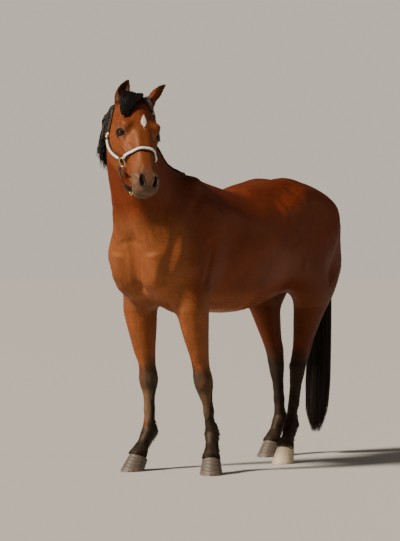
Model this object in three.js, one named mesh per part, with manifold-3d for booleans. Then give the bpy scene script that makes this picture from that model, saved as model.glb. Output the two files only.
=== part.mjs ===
// A life-size model of a standing bay horse in a headcollar, in millimetres.
// +Z is up, the horse faces -Y and its left side is +X. The origin is on the ground,
// at the middle of the model's footprint.
//
// The body is one skin wrapped round named masses of flesh (bones, muscles and the long
// sleeves of trunk, neck, head and legs). Each region of that skin is polygonized, thinned
// to its own triangle budget and parted from its neighbours with thin cuts.

import * as THREE from "three";
import { mergeVertices } from "three/addons/utils/BufferGeometryUtils.js";
import Module from "manifold-3d";

const wasm = await Module();
wasm.setup();

// ---------------------------------------------------------------- driving dimensions

const WITHERS = 1556; // height of the withers
const CROUP = 1536; // height of the croup
const BREAST = 792; // how far the breast reaches in front of the origin of the measures
const BUTTOCK = 905; // how far the buttocks reach behind it
const BELLY = 815; // height of the belly at its lowest
const BARREL = 300; // half the width of the barrel
const POLL = { forward: 838, left: 90, up: 1930 }; // the top of the head, between the ears
const HEAD_LENGTH = 562; // poll to upper lip
const HEAD_TURN = 59; // degrees the face is turned to the horse's left
const HEAD_PITCH = 38; // degrees the face line stands out from the vertical
const HEAD_ROLL = 7; // degrees the poll is tipped towards the left ear
const GAP = 0.6; // the thin cut between two nodes

// Where each leg stands: forward and left of the origin of the measures, at each joint.
const FORE_JOINTS = { elbow: 930, knee: 482, fetlock: 205, coronet: 92 };
const HIND_JOINTS = { stifle: 965, hock: 520, fetlock: 208, coronet: 92 };
const STANCE = {
  front_left: { side: 1, top: [535, 186], middle: [432, 190], fetlock: [366, 196], toe: 36 },
  front_right: { side: -1, top: [482, -188], middle: [421, -180], fetlock: [423, -175], toe: -2 },
  hind_left: { side: 1, top: [-575, 172], middle: [-470, 150], fetlock: [-405, 150], toe: 16 },
  hind_right: { side: -1, top: [-540, -165], middle: [-672, -140], fetlock: [-706, -140], toe: 6 },
};
const HOOF = { heel: 74, toe: 206, half: 60, top: 84, topHalf: 48, topLength: 47, height: 72 };

const at = (forward, left, up) => new THREE.Vector3(left, -forward, up);
const heading = (degrees) => {
  const turn = THREE.MathUtils.degToRad(degrees);
  return new THREE.Vector3(Math.sin(turn), -Math.cos(turn), 0);
};
const LEFT = new THREE.Vector3(1, 0, 0);
const UP = new THREE.Vector3(0, 0, 1);

// ---------------------------------------------------------------- masses of flesh

// Every mass answers how far a point is from its surface, less than zero inside. It joins
// the masses before it with a fillet of its own blend.
const mass = (centre, reach, blend, distance) => ({ centre, reach, blend, distance });

// A long muscle or bone: a ball at each end, with a straight taper between them. It can be
// pressed flat along one direction.
function muscle(a, ra, b, rb, { blend = 40, flat = null, press = 1 } = {}) {
  const d = b.clone().sub(a);
  const l2 = d.lengthSq();
  const rr = ra - rb;
  const a2 = l2 - rr * rr;
  const n = flat ? flat.clone().normalize() : null;
  const centre = a.clone().add(b).multiplyScalar(0.5);
  const reach = Math.sqrt(l2) / 2 + Math.max(ra, rb);
  return mass(centre, reach, blend, (x, y, z) => {
    let px = x - a.x, py = y - a.y, pz = z - a.z;
    if (n) {
      const s = ((px - d.x / 2) * n.x + (py - d.y / 2) * n.y + (pz - d.z / 2) * n.z) * (press - 1);
      px += s * n.x;
      py += s * n.y;
      pz += s * n.z;
    }
    const along = px * d.x + py * d.y + pz * d.z;
    const past = along - l2;
    const qx = px * l2 - d.x * along, qy = py * l2 - d.y * along, qz = pz * l2 - d.z * along;
    const x2 = qx * qx + qy * qy + qz * qz;
    const y2 = along * along * l2, z2 = past * past * l2;
    const k = Math.sign(rr) * rr * rr * x2;
    if (Math.sign(past) * a2 * z2 > k) return Math.sqrt(x2 + z2) / l2 - rb;
    if (Math.sign(along) * a2 * y2 < k) return Math.sqrt(x2 + y2) / l2 - ra;
    return (Math.sqrt((x2 * a2) / l2) + along * rr) / l2 - ra;
  });
}

// A rounded mass: an ellipsoid whose three radii lie along its own axes.
function lump(centre, radii, { blend = 40, along = null, across = LEFT } = {}) {
  const e1 = (along ? along.clone() : new THREE.Vector3(0, 0, 1)).normalize();
  const e3 = e1.clone().cross(across).normalize();
  const e2 = e3.clone().cross(e1).normalize();
  const [r1, r2, r3] = radii;
  return mass(centre, Math.max(...radii), blend, (x, y, z) => {
    const px = x - centre.x, py = y - centre.y, pz = z - centre.z;
    const u = (px * e1.x + py * e1.y + pz * e1.z) / r1;
    const v = (px * e2.x + py * e2.y + pz * e2.z) / r2;
    const w = (px * e3.x + py * e3.y + pz * e3.z) / r3;
    const k0 = Math.sqrt(u * u + v * v + w * w);
    const k1 = Math.sqrt((u * u) / (r1 * r1) + (v * v) / (r2 * r2) + (w * w) / (r3 * r3));
    return k1 < 1e-9 ? -Math.min(r1, r2, r3) : (k0 * (k0 - 1)) / k1;
  });
}

const spline = (values, t) => {
  const last = values.length - 1;
  const i = Math.min(Math.floor(t), last - 1);
  const f = t - i;
  const [a, b, c, d] = [-1, 0, 1, 2].map((k) => values[Math.min(Math.max(i + k, 0), last)]);
  const square = 2 * a - 5 * b + 4 * c - d, cube = 3 * b - 3 * c + d - a;
  return 0.5 * (2 * b + (c - a) * f + square * f * f + cube * f * f * f);
};

// A sleeve of flesh along a line of stations. Each station is { at, fore, aft, half, square }:
// how far the surface lies to the fore side, to the aft side and out to each side, and how
// square its section is. The fore side is the line's direction crossed with the left side.
function sleeve(stations, { blend = 40, left = LEFT, steps = 6 } = {}) {
  const rows = [];
  const spans = stations.length - 1;
  const pick = (key, t, fallback) => spline(stations.map((s) => s[key] ?? fallback), t);
  const line = new THREE.CatmullRomCurve3(stations.map((s) => s.at), false, "centripetal");
  for (let i = 0; i <= spans * steps; i++) {
    const t = i / steps;
    const along = line.getTangent(t / spans);
    const fore = along.clone().cross(left).normalize();
    const side = fore.clone().cross(along).normalize();
    rows.push({
      c: line.getPoint(t / spans), along, fore, side,
      up: pick("fore", t), down: pick("aft", t), half: pick("half", t),
      n1: pick("square", t, 2), n2: spline(stations.map((s) => s.keel ?? s.square ?? 2), t),
    });
  }
  const box = new THREE.Box3().setFromPoints(rows.map((r) => r.c));
  const ball = box.getBoundingSphere(new THREE.Sphere());
  const widest = Math.max(...rows.map((r) => Math.max(r.up, r.down, r.half)));
  const locate = (x, y, z) => {
    let best = Infinity, at = 0, f = 0;
    for (let i = 0; i < rows.length - 1; i++) {
      const a = rows[i].c, b = rows[i + 1].c;
      const dx = b.x - a.x, dy = b.y - a.y, dz = b.z - a.z;
      const px = x - a.x, py = y - a.y, pz = z - a.z;
      const t = Math.min(Math.max((px * dx + py * dy + pz * dz) / (dx * dx + dy * dy + dz * dz), 0), 1);
      const ex = px - dx * t, ey = py - dy * t, ez = pz - dz * t;
      const d = ex * ex + ey * ey + ez * ez;
      if (d < best) [best, at, f] = [d, i, t];
    }
    const a = rows[at], b = rows[at + 1], g = 1 - f;
    const px = x - a.c.x * g - b.c.x * f, py = y - a.c.y * g - b.c.y * f, pz = z - a.c.z * g - b.c.z * f;
    const dot = (k) =>
      px * (a[k].x * g + b[k].x * f) + py * (a[k].y * g + b[k].y * f) + pz * (a[k].z * g + b[k].z * f);
    const mix = (k) => a[k] * g + b[k] * f;
    const end = at + f === 0 || at + f === rows.length - 1;
    return { side: dot("side"), fore: dot("fore"), beyond: end ? dot("along") : 0, mix };
  };
  const distance = (x, y, z) => {
    const { side, fore, beyond, mix } = locate(x, y, z);
    const depth = fore > 0 ? mix("up") : mix("down");
    const n = fore > 0 ? mix("n1") : mix("n2");
    const from = Math.hypot(side, fore);
    if (from < 1e-6) return -Math.min(depth, mix("half"));
    const r = Math.pow(Math.abs(side / mix("half")) ** n + Math.abs(fore / depth) ** n, 1 / n);
    const off = from - from / r;
    return beyond === 0 ? off : Math.hypot(Math.max(off, 0), beyond) + Math.min(off, 0) * 0.2;
  };
  return mass(ball.center, ball.radius + widest, blend, distance);
}

// A region of the body: masses and hollows in one frame of their own. In a paired region
// every mass on the left is on the right as well.
class Region {
  constructor({ frame = new THREE.Matrix4(), paired = false } = {}) {
    this.frame = frame;
    this.inverse = frame.clone().invert().elements;
    this.paired = paired;
    this.masses = [];
    this.hollows = [];
  }
  add(...masses) {
    this.masses.push(...masses);
    return this;
  }
  carve(...hollows) {
    this.hollows.push(...hollows);
    return this;
  }
  enter(x, y, z) {
    const m = this.inverse;
    const lx = m[0] * x + m[4] * y + m[8] * z + m[12];
    this.x = this.paired ? Math.abs(lx) : lx;
    this.y = m[1] * x + m[5] * y + m[9] * z + m[13];
    this.z = m[2] * x + m[6] * y + m[10] * z + m[14];
  }
  away(m) {
    const dx = this.x - m.centre.x, dy = this.y - m.centre.y, dz = this.z - m.centre.z;
    return Math.sqrt(dx * dx + dy * dy + dz * dz) - m.reach;
  }
}

function fleshField(regions) {
  return (x, y, z) => {
    let d = 400;
    for (const r of regions) {
      r.enter(x, y, z);
      for (const m of r.masses) {
        if (r.away(m) > d + m.blend) continue;
        const own = m.distance(r.x, r.y, r.z);
        const h = Math.max(m.blend - Math.abs(d - own), 0) / m.blend;
        d = Math.min(d, own) - (h * h * m.blend) / 4;
      }
    }
    for (const r of regions) {
      for (const m of r.hollows) {
        if (r.away(m) > m.blend - d) continue;
        const own = -m.distance(r.x, r.y, r.z);
        const h = Math.max(m.blend - Math.abs(d - own), 0) / m.blend;
        d = Math.max(d, own) + (h * h * m.blend) / 4;
      }
    }
    return d;
  };
}

// ---------------------------------------------------------------- trunk

function trunkRegion() {
  const section = (forward, top, bottom, half, square, keel) => {
    const middle = 1190 - 0.035 * forward;
    return { at: at(forward, 0, middle), fore: top - middle, aft: middle - bottom, half, square, keel };
  };
  const barrel = sleeve([
    section(-BUTTOCK + 35, 1350, 1180, 66, 2, 2),
    section(-820, 1455, 1090, 158, 2.1, 2),
    section(-730, 1500, 1020, 226, 2.3, 2),
    section(-610, CROUP - 8, 970, 262, 2.4, 2),
    section(-470, CROUP, 925, 276, 2.3, 2),
    section(-320, CROUP - 14, 878, 276, 2.1, 2),
    section(-190, 1498, BELLY + 28, 286, 1.95, 2.1),
    section(-30, 1466, BELLY, BARREL, 1.9, 2.2),
    section(110, 1492, BELLY, 292, 1.8, 2.2),
    section(220, 1522, BELLY + 6, 266, 1.65, 2.1),
    section(330, WITHERS - 6, BELLY + 16, 240, 1.6, 2.1),
    section(440, WITHERS, BELLY + 30, 226, 1.6, 2.1),
    section(560, 1500, BELLY + 60, 214, 1.9, 2.1),
    section(680, 1380, 925, 200, 2.3, 2.2),
    section(BREAST - 30, 1260, 1000, 150, 2.4, 2.2),
  ], { steps: 5 });

  return new Region({ paired: true }).add(
    barrel,
    // shoulder blade, the arm below it and the mass that fills the angle between them
    muscle(at(400, 95, 1480), 60, at(660, 170, 1120), 70, { flat: LEFT, press: 1.35, blend: 70 }),
    muscle(at(656, 160, 1110), 68, at(520, 186, 950), 66, { flat: LEFT, press: 1.15, blend: 60 }),
    muscle(at(360, 165, 1290), 105, at(470, 192, 985), 70, { flat: LEFT, press: 1.5, blend: 110 }),
    muscle(at(430, 165, 1180), 90, at(590, 184, 1080), 80, { flat: LEFT, press: 1.3, blend: 60 }),
    // breast, and the lower breast between the forelegs
    lump(at(700, 92, 1125), [132, 92, 92], { blend: 45 }),
    muscle(at(690, 88, 1004), 84, at(560, 88, 908), 72, { blend: 50 }),
    // loin, point of the hip and the mass of the croup
    muscle(at(-130, 70, 1418), 68, at(-400, 80, 1452), 84, { blend: 60 }),
    lump(at(-330, 214, 1345), [64, 48, 82], { blend: 70 }),
    muscle(at(-450, 122, 1404), 122, at(-670, 134, 1330), 132, { blend: 60 }),
    // thigh: the deep mass, the ridge down to the stifle, and the hamstrings
    muscle(at(-600, 160, 1230), 154, at(-500, 168, 1030), 122, { flat: LEFT, press: 1.15, blend: 70 }),
    muscle(at(-350, 200, 1330), 44, at(-380, 180, 1040), 62, { flat: LEFT, press: 1.2, blend: 110 }),
    muscle(at(-790, 96, 1330), 86, at(-740, 130, 1060), 100, { blend: 60 }),
    muscle(at(-730, 128, 1080), 94, at(-640, 138, 930), 78, { blend: 50 }),
    // root of the tail
    muscle(at(-780, 0, 1462), 44, at(-880, 0, 1416), 32, { blend: 50 }),
  ).carve(
    // the furrow down the breast, the hollow of the flank and the dip in front of the hip
    muscle(at(812, 0, 1170), 12, at(770, 0, 980), 14, { blend: 46 }),
    lump(at(-200, 346, 1260), [120, 40, 90], { blend: 60 }),
    // the furrow between the buttocks, under the tail
    muscle(at(-940, 0, 1330), 26, at(-850, 0, 1000), 44, { blend: 60 }),
  );
}

// ---------------------------------------------------------------- neck

// The neck runs up from the chest, so its fore side here is the crest.
const NECK = [
  { at: at(520, 0, 1290), fore: 262, aft: 270, half: 160, square: 1.8, keel: 2 },
  { at: at(625, 2, 1425), fore: 248, aft: 240, half: 132, square: 1.8, keel: 2 },
  { at: at(718, 2, 1570), fore: 220, aft: 206, half: 106, square: 1.8, keel: 2 },
  { at: at(792, 2, 1700), fore: 172, aft: 160, half: 92, square: 1.85, keel: 2.1 },
  { at: at(812, 34, 1795), fore: 136, aft: 128, half: 82, square: 1.95, keel: 2.1 },
  { at: at(812, 68, 1854), fore: 96, aft: 56, half: 66, square: 2, keel: 2.1 },
];
const NECK_LEFT = new THREE.Vector3(0.93, 0.36, 0);

function neckRegion() {
  const neck = sleeve(NECK, { blend: 80, left: NECK_LEFT });
  const region = new Region().add(
    neck,
    // the muscle from the breast to the jaw stands out on each side of the windpipe
    ...[-1, 1].map((s) =>
      muscle(at(742, s * 68, 1210), 62, at(878, 22 + s * 52, 1600), 42, { blend: 60 })),
  );
  region.line = new THREE.CatmullRomCurve3(NECK.map((n) => n.at), false, "centripetal");
  return region;
}

// ---------------------------------------------------------------- head

const FACING = heading(HEAD_TURN);
const radians = THREE.MathUtils.degToRad;
const pitch = radians(HEAD_PITCH);
const tipped = (v) => v.applyAxisAngle(FACING, -radians(HEAD_ROLL));
const HEAD_LEFT = tipped(UP.clone().cross(FACING));
const HEAD_DOWN = tipped(FACING.clone().multiplyScalar(Math.sin(pitch)).setZ(-Math.cos(pitch)));
const HEAD_FACE = HEAD_DOWN.clone().cross(HEAD_LEFT);
// The head's own frame: x to its left, y down the face from the poll, z out of the face.
const HEAD = new THREE.Matrix4()
  .makeBasis(HEAD_LEFT, HEAD_DOWN, HEAD_FACE)
  .setPosition(at(POLL.forward, POLL.left, POLL.up));
const DOWN_FACE = new THREE.Vector3(0, 1, 0.2);
const onHead = (left, down, out) => new THREE.Vector3(left, down, out);
const toWorld = (p) => p.clone().applyMatrix4(HEAD);

const EYE = { left: 90, down: 203, out: -70, radius: 25 };
const GAZE = new THREE.Vector3(0.84, 0.12, 0.52).normalize();

const EYE_FRONT = onHead(EYE.left, EYE.down, EYE.out).addScaledVector(GAZE, EYE.radius + 3);

function headRegion() {
  const across = new THREE.Vector3(1, 0, 0);
  const section = (down, top, bottom, half, square, keel) => {
    const middle = (top + bottom) / 2;
    return { at: onHead(0, down, middle), fore: top - middle, aft: middle - bottom, half, square, keel };
  };
  const face = sleeve([
    section(-18, -60, -150, 52, 2, 2),
    section(28, -12, -200, 88, 2.2, 2),
    section(86, 4, -236, 99, 2.4, 2),
    section(155, 10, -252, 100, 2.6, 2),
    section(222, 6, -230, 85, 2.5, 2),
    section(286, -4, -194, 75, 2.4, 2),
    section(356, -14, -164, 62, 2.3, 2),
    section(424, -20, -150, 59, 2.2, 2),
    section(486, -24, -148, 62, 2.3, 2.1),
    section(532, -38, -142, 58, 2.2, 2),
    section(HEAD_LENGTH - 6, -68, -126, 32, 2, 2),
  ], { left: across, steps: 5, blend: 30 });
  const line = (a, ra, b, rb, options) => muscle(onHead(...a), ra, onHead(...b), rb, options);

  return new Region({ frame: HEAD, paired: true }).add(
    face,
    // cheek: the broad disc of the jaw, its rear edge, and the bar of the jaw to the chin
    lump(onHead(68, 150, -184), [106, 46, 100], { along: DOWN_FACE, blend: 26, across }),
    line([50, 80, -130], 42, [50, 124, -236], 36, { blend: 26 }),
    line([44, 190, -240], 28, [27, 395, -150], 20, { blend: 30 }),
    // brow, the bony ring round the eye, the arch back to the ear and the crest of the cheek
    lump(onHead(74, EYE.down - 28, -38), [40, 38, 40], { along: DOWN_FACE, blend: 24, across }),
    lump(onHead(EYE.left, EYE.down, EYE.out), [29, 29, 29], { blend: 16 }),
    line([94, EYE.down - 16, -62], 17, [72, 86, -62], 30, { blend: 26 }),
    line([84, EYE.down + 42, -80], 17, [60, 330, -90], 10, { blend: 22 }),
    // the nasal bones, and the roll of muscle from them to the nostril
    line([24, 236, -22], 21, [21, 458, -38], 15, { blend: 24 }),
    line([50, 396, -70], 19, [48, 486, -62], 22, { blend: 26 }),
    // nostril, upper lip, lower lip and chin
    lump(onHead(45, 506, -60), [38, 25, 32], { along: new THREE.Vector3(0, 1, -0.35), blend: 20, across }),
    lump(onHead(20, 542, -90), [28, 40, 38], { along: new THREE.Vector3(0, 1, -0.5), blend: 20, across }),
    lump(onHead(14, 520, -142), [38, 35, 22], { along: new THREE.Vector3(0, 1, 0.2), blend: 18, across }),
    lump(onHead(0, 494, -158), [28, 27, 17], { along: new THREE.Vector3(0, 1, 0.2), blend: 18, across }),
    // the swelling of the neck behind the jaw, up to the poll
    line([38, 10, -72], 50, [44, 56, -176], 50, { blend: 40 }),
  ).carve(
    // temple, the hollow between the bars of the jaw, nostril and the line of the mouth
    lump(onHead(72, EYE.down - 58, 6), [30, 20, 15], { along: DOWN_FACE, blend: 16, across }),
    line([0, 240, -272], 26, [0, 410, -194], 12, { blend: 26 }),
    lump(onHead(72, 518, -48), [20, 12, 17], { along: new THREE.Vector3(0, 1, -0.6), blend: 9, across }),
    line([74, 502, -124], 4, [32, 568, -118], 4, { blend: 8 }),
    // the opening between the lids
    lump(EYE_FRONT, [21, 16, 15], { along: DOWN_FACE, blend: 6, across }),
  );
}

// ---------------------------------------------------------------- ears

const EAR_LENGTH = 154;
// Each ear has a foot on the head, a direction for its tip and one for its opening.
const EARS = {
  left: { foot: onHead(78, 4, -56), tip: [0.56, 0.34, 0.76], open: [0.80, -0.22, -0.10] },
  right: { foot: onHead(-84, 8, -54), tip: [0.25, 0.5, 0.70], open: [0.25, -0.85, 0.1] },
};

function earRegion({ foot, tip, open }) {
  // the directions are given as across the view line, away from it and up
  const view = heading(37);
  const right = UP.clone().cross(view);
  const direct = ([x, y, z]) =>
    right.clone().multiplyScalar(x).addScaledVector(view, -y).addScaledVector(UP, z).normalize();
  const base = toWorld(foot);
  const along = direct(tip);
  const mouth = direct(open).addScaledVector(along, -direct(open).dot(along)).normalize();
  const left = mouth.clone().cross(along).normalize();
  const point = (share, out) =>
    base.clone().addScaledVector(along, EAR_LENGTH * share).addScaledVector(mouth, out);
  const shell = sleeve([
    { at: point(-0.12, 0), fore: 24, aft: 26, half: 26 },
    { at: point(0.12, -2), fore: 28, aft: 31, half: 32 },
    { at: point(0.36, -4), fore: 25, aft: 32, half: 36 },
    { at: point(0.6, -5), fore: 18, aft: 26, half: 32 },
    { at: point(0.82, -3), fore: 11, aft: 16, half: 20 },
    { at: point(0.96, 3), fore: 5, aft: 6, half: 8 },
    { at: point(1, 6), fore: 3, aft: 3, half: 3 },
  ], { left, steps: 4, blend: 16 });
  const hollow = sleeve([
    { at: point(0.14, 12), fore: 10, aft: 8, half: 12 },
    { at: point(0.34, 11), fore: 26, aft: 21, half: 26 },
    { at: point(0.58, 8), fore: 26, aft: 18, half: 23 },
    { at: point(0.8, 6), fore: 20, aft: 10, half: 12 },
    { at: point(0.92, 8), fore: 10, aft: 4, half: 4 },
  ], { left, steps: 4, blend: 5 });
  return { flesh: new Region().add(shell).carve(hollow), base, along };
}

// ---------------------------------------------------------------- legs

// A point on a leg's own line at a height, and the leg's sleeve through named sections.
function legLine(stance, heights) {
  const toe = heading(stance.toe);
  const fetlock = at(...stance.fetlock, heights[2]);
  const coronet = fetlock.clone().addScaledVector(toe, 84).setZ(heights[3]);
  const joints = [at(...stance.top, heights[0]), at(...stance.middle, heights[1]), fetlock, coronet];
  const point = (height) => {
    const i = Math.max(0, joints.findIndex((j, k) => k && height >= j.z) - 1);
    const [a, b] = height < joints[3].z ? [joints[2], joints[3]] : [joints[i], joints[i + 1]];
    return a.clone().lerp(b, (a.z - height) / (a.z - b.z));
  };
  return { toe, point, left: UP.clone().cross(toe) };
}

function legSleeve(line, sections, options) {
  const stations = sections.map(([height, fore, aft, half, square = 2.1]) =>
    ({ at: line.point(height), fore, aft, half, square }));
  return sleeve(stations, { left: LEFT, steps: 4, ...options });
}

const PASTERN = [
  [240, 33, 42, 31],
  [208, 40, 50, 40],
  [178, 36, 44, 37],
  [140, 31, 38, 34],
  [104, 42, 46, 45],
  [70, 48, 50, 50],
];

function forelegRegion(name) {
  const stance = STANCE[name];
  const { elbow, knee, fetlock, coronet } = FORE_JOINTS;
  const line = legLine(stance, [elbow, knee, fetlock, coronet]);
  const bone = legSleeve(line, [
    [960, 84, 100, 62],
    [870, 88, 92, 76],
    [770, 82, 78, 74],
    [670, 66, 60, 60],
    [580, 51, 48, 48],
    [528, 47, 48, 47],
    [490, 52, 54, 52],
    [450, 47, 55, 49],
    [412, 34, 44, 38],
    [370, 27, 41, 29],
    [300, 26, 40, 27],
  ], { blend: 50 });
  const foot = legSleeve(line, [[330, 26, 40, 27], [280, 27, 40, 28], ...PASTERN],
    { blend: 12, left: line.left });
  const out = stance.side;
  const near = (height, forward, side) => line.point(height).add(at(forward, side * out, 0));
  return {
    line,
    flesh: new Region().add(
      bone,
      foot,
      muscle(near(905, -70, 10), 46, near(850, -42, 4), 40, { blend: 40 }), // elbow
      muscle(near(850, 42, 22), 52, near(620, 22, 14), 28, { blend: 40 }), // extensor
      muscle(near(468, -50, 4), 13, near(448, -48, 4), 11, { blend: 26 }), // back of the knee
      muscle(near(195, -44, 0), 15, near(186, -48, 0), 10, { blend: 20 }), // tuft of the fetlock
    ),
  };
}

function hindlegRegion(name) {
  const stance = STANCE[name];
  const { stifle, hock, fetlock, coronet } = HIND_JOINTS;
  const line = legLine(stance, [stifle, hock, fetlock, coronet]);
  const bone = legSleeve(line, [
    [1010, 110, 190, 84],
    [930, 108, 168, 86],
    [850, 92, 132, 78],
    [770, 76, 98, 67],
    [690, 62, 74, 55],
    [620, 50, 58, 45],
    [560, 48, 56, 43],
    [515, 50, 52, 44],
    [465, 42, 46, 41],
    [415, 31, 42, 32],
    [300, 27, 41, 28],
  ], { blend: 60 });
  const foot = legSleeve(line, [[330, 27, 41, 28], [280, 28, 41, 29], ...PASTERN],
    { blend: 12, left: line.left });
  const out = stance.side;
  const near = (height, forward, side) => line.point(height).add(at(forward, side * out, 0));
  return {
    line,
    flesh: new Region().add(
      bone,
      foot,
      muscle(near(980, 84, 6), 56, near(900, 60, 2), 46, { blend: 50 }), // stifle
      muscle(near(800, -108, 0), 22, near(600, -62, 0), 17, { blend: 34 }), // hamstring tendon
      muscle(near(612, -60, 0), 21, near(560, -48, 0), 22, { blend: 22 }), // point of the hock
      muscle(near(195, -44, 0), 15, near(186, -48, 0), 10, { blend: 20 }),
    ),
  };
}

// ---------------------------------------------------------------- skin round the flesh

// Surface nets over a box: one vertex in each cell that the surface crosses, and one quad
// across each edge of the grid that it cuts. Blocks far from the surface are passed over.
function wrap(field, box, cell, level = 0) {
  const size = box.getSize(new THREE.Vector3());
  const [nx, ny, nz] = size.toArray().map((s) => Math.ceil(s / cell) + 1);
  const value = new Float32Array(nx * ny * nz).fill(1);
  const index = (i, j, k) => i + nx * (j + ny * k);
  const where = (i, j, k) => [box.min.x + i * cell, box.min.y + j * cell, box.min.z + k * cell];
  const rim = (a, n) => a < 3 || a > n - 4;
  const block = 4;
  const reach = block * cell * 0.9 + 12;
  for (let k = 0; k < nz; k += block)
    for (let j = 0; j < ny; j += block)
      for (let i = 0; i < nx; i += block) {
        const [x, y, z] = where(i + block / 2, j + block / 2, k + block / 2);
        const middle = field(x, y, z) - level;
        const far = Math.abs(middle) > reach * 1.35;
        for (let c = k; c < Math.min(k + block, nz); c++)
          for (let b = j; b < Math.min(j + block, ny); b++)
            for (let a = i; a < Math.min(i + block, nx); a++) {
              const edge = rim(a, nx) || rim(b, ny) || rim(c, nz);
              value[index(a, b, c)] = edge ? cell : far ? middle : field(...where(a, b, c)) - level || 1e-4;
            }
      }

  const corner = [0, 1, nx, nx + 1, nx * ny, nx * ny + 1, nx * ny + nx, nx * ny + nx + 1];
  const edges = [];
  for (let a = 0; a < 8; a++) for (const bit of [1, 2, 4]) if (!(a & bit)) edges.push([a, a | bit]);
  // A cell whose inner or outer corners don't all meet along its edges would need two
  // vertices. Its nearest outer corner is drawn in, until no such cell is left.
  const parts = (mask) => {
    let seen = mask & -mask;
    for (let pass = 0; pass < 8; pass++)
      for (const [a, b] of edges) {
        if (mask & (1 << a) && mask & (1 << b) && seen & ((1 << a) | (1 << b))) seen |= (1 << a) | (1 << b);
      }
    return seen === mask;
  };
  const simple = Array.from({ length: 256 }, (_, mask) => parts(mask) && parts(255 - mask));
  for (let again = true; again; ) {
    again = false;
    for (let k = 0; k < nz - 1; k++)
      for (let j = 0; j < ny - 1; j++)
        for (let i = 0; i < nx - 1; i++) {
          const first = index(i, j, k);
          let mask = 0, nearest = 0, least = Infinity;
          for (let c = 0; c < 8; c++) {
            const v = value[first + corner[c]];
            if (v < 0) mask |= 1 << c;
            else if (v < least) [nearest, least] = [c, v];
          }
          if (simple[mask]) continue;
          value[first + corner[nearest]] = -1e-3;
          again = true;
        }
  }

  const vertex = new Int32Array(value.length).fill(-1);
  const points = [];
  for (let k = 0; k < nz - 1; k++)
    for (let j = 0; j < ny - 1; j++)
      for (let i = 0; i < nx - 1; i++) {
        const first = index(i, j, k);
        let inside = 0;
        for (let c = 0; c < 8; c++) if (value[first + corner[c]] < 0) inside++;
        if (!inside || inside === 8) continue;
        let x = 0, y = 0, z = 0, cuts = 0;
        for (const [a, b] of edges) {
          const va = value[first + corner[a]], vb = value[first + corner[b]];
          if (va < 0 === vb < 0) continue;
          const t = va / (va - vb);
          const mix = (bit) => (a & bit ? 1 : 0) * (1 - t) + (b & bit ? 1 : 0) * t;
          x += mix(1);
          y += mix(2);
          z += mix(4);
          cuts++;
        }
        vertex[first] = points.length / 3;
        points.push(...where(i + x / cuts, j + y / cuts, k + z / cuts));
      }

  const faces = [];
  const steps = [1, nx, nx * ny];
  for (let k = 1; k < nz - 1; k++)
    for (let j = 1; j < ny - 1; j++)
      for (let i = 1; i < nx - 1; i++) {
        const here = index(i, j, k);
        for (let axis = 0; axis < 3; axis++) {
          const inside = value[here] < 0;
          if (inside === value[here + steps[axis]] < 0) continue;
          const u = steps[(axis + 1) % 3], v = steps[(axis + 2) % 3];
          const quad = [here, here - u, here - u - v, here - v].map((c) => vertex[c]);
          if (!inside) quad.reverse();
          faces.push(quad[0], quad[1], quad[2], quad[0], quad[2], quad[3]);
        }
      }
  return { points, faces };
}

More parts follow.
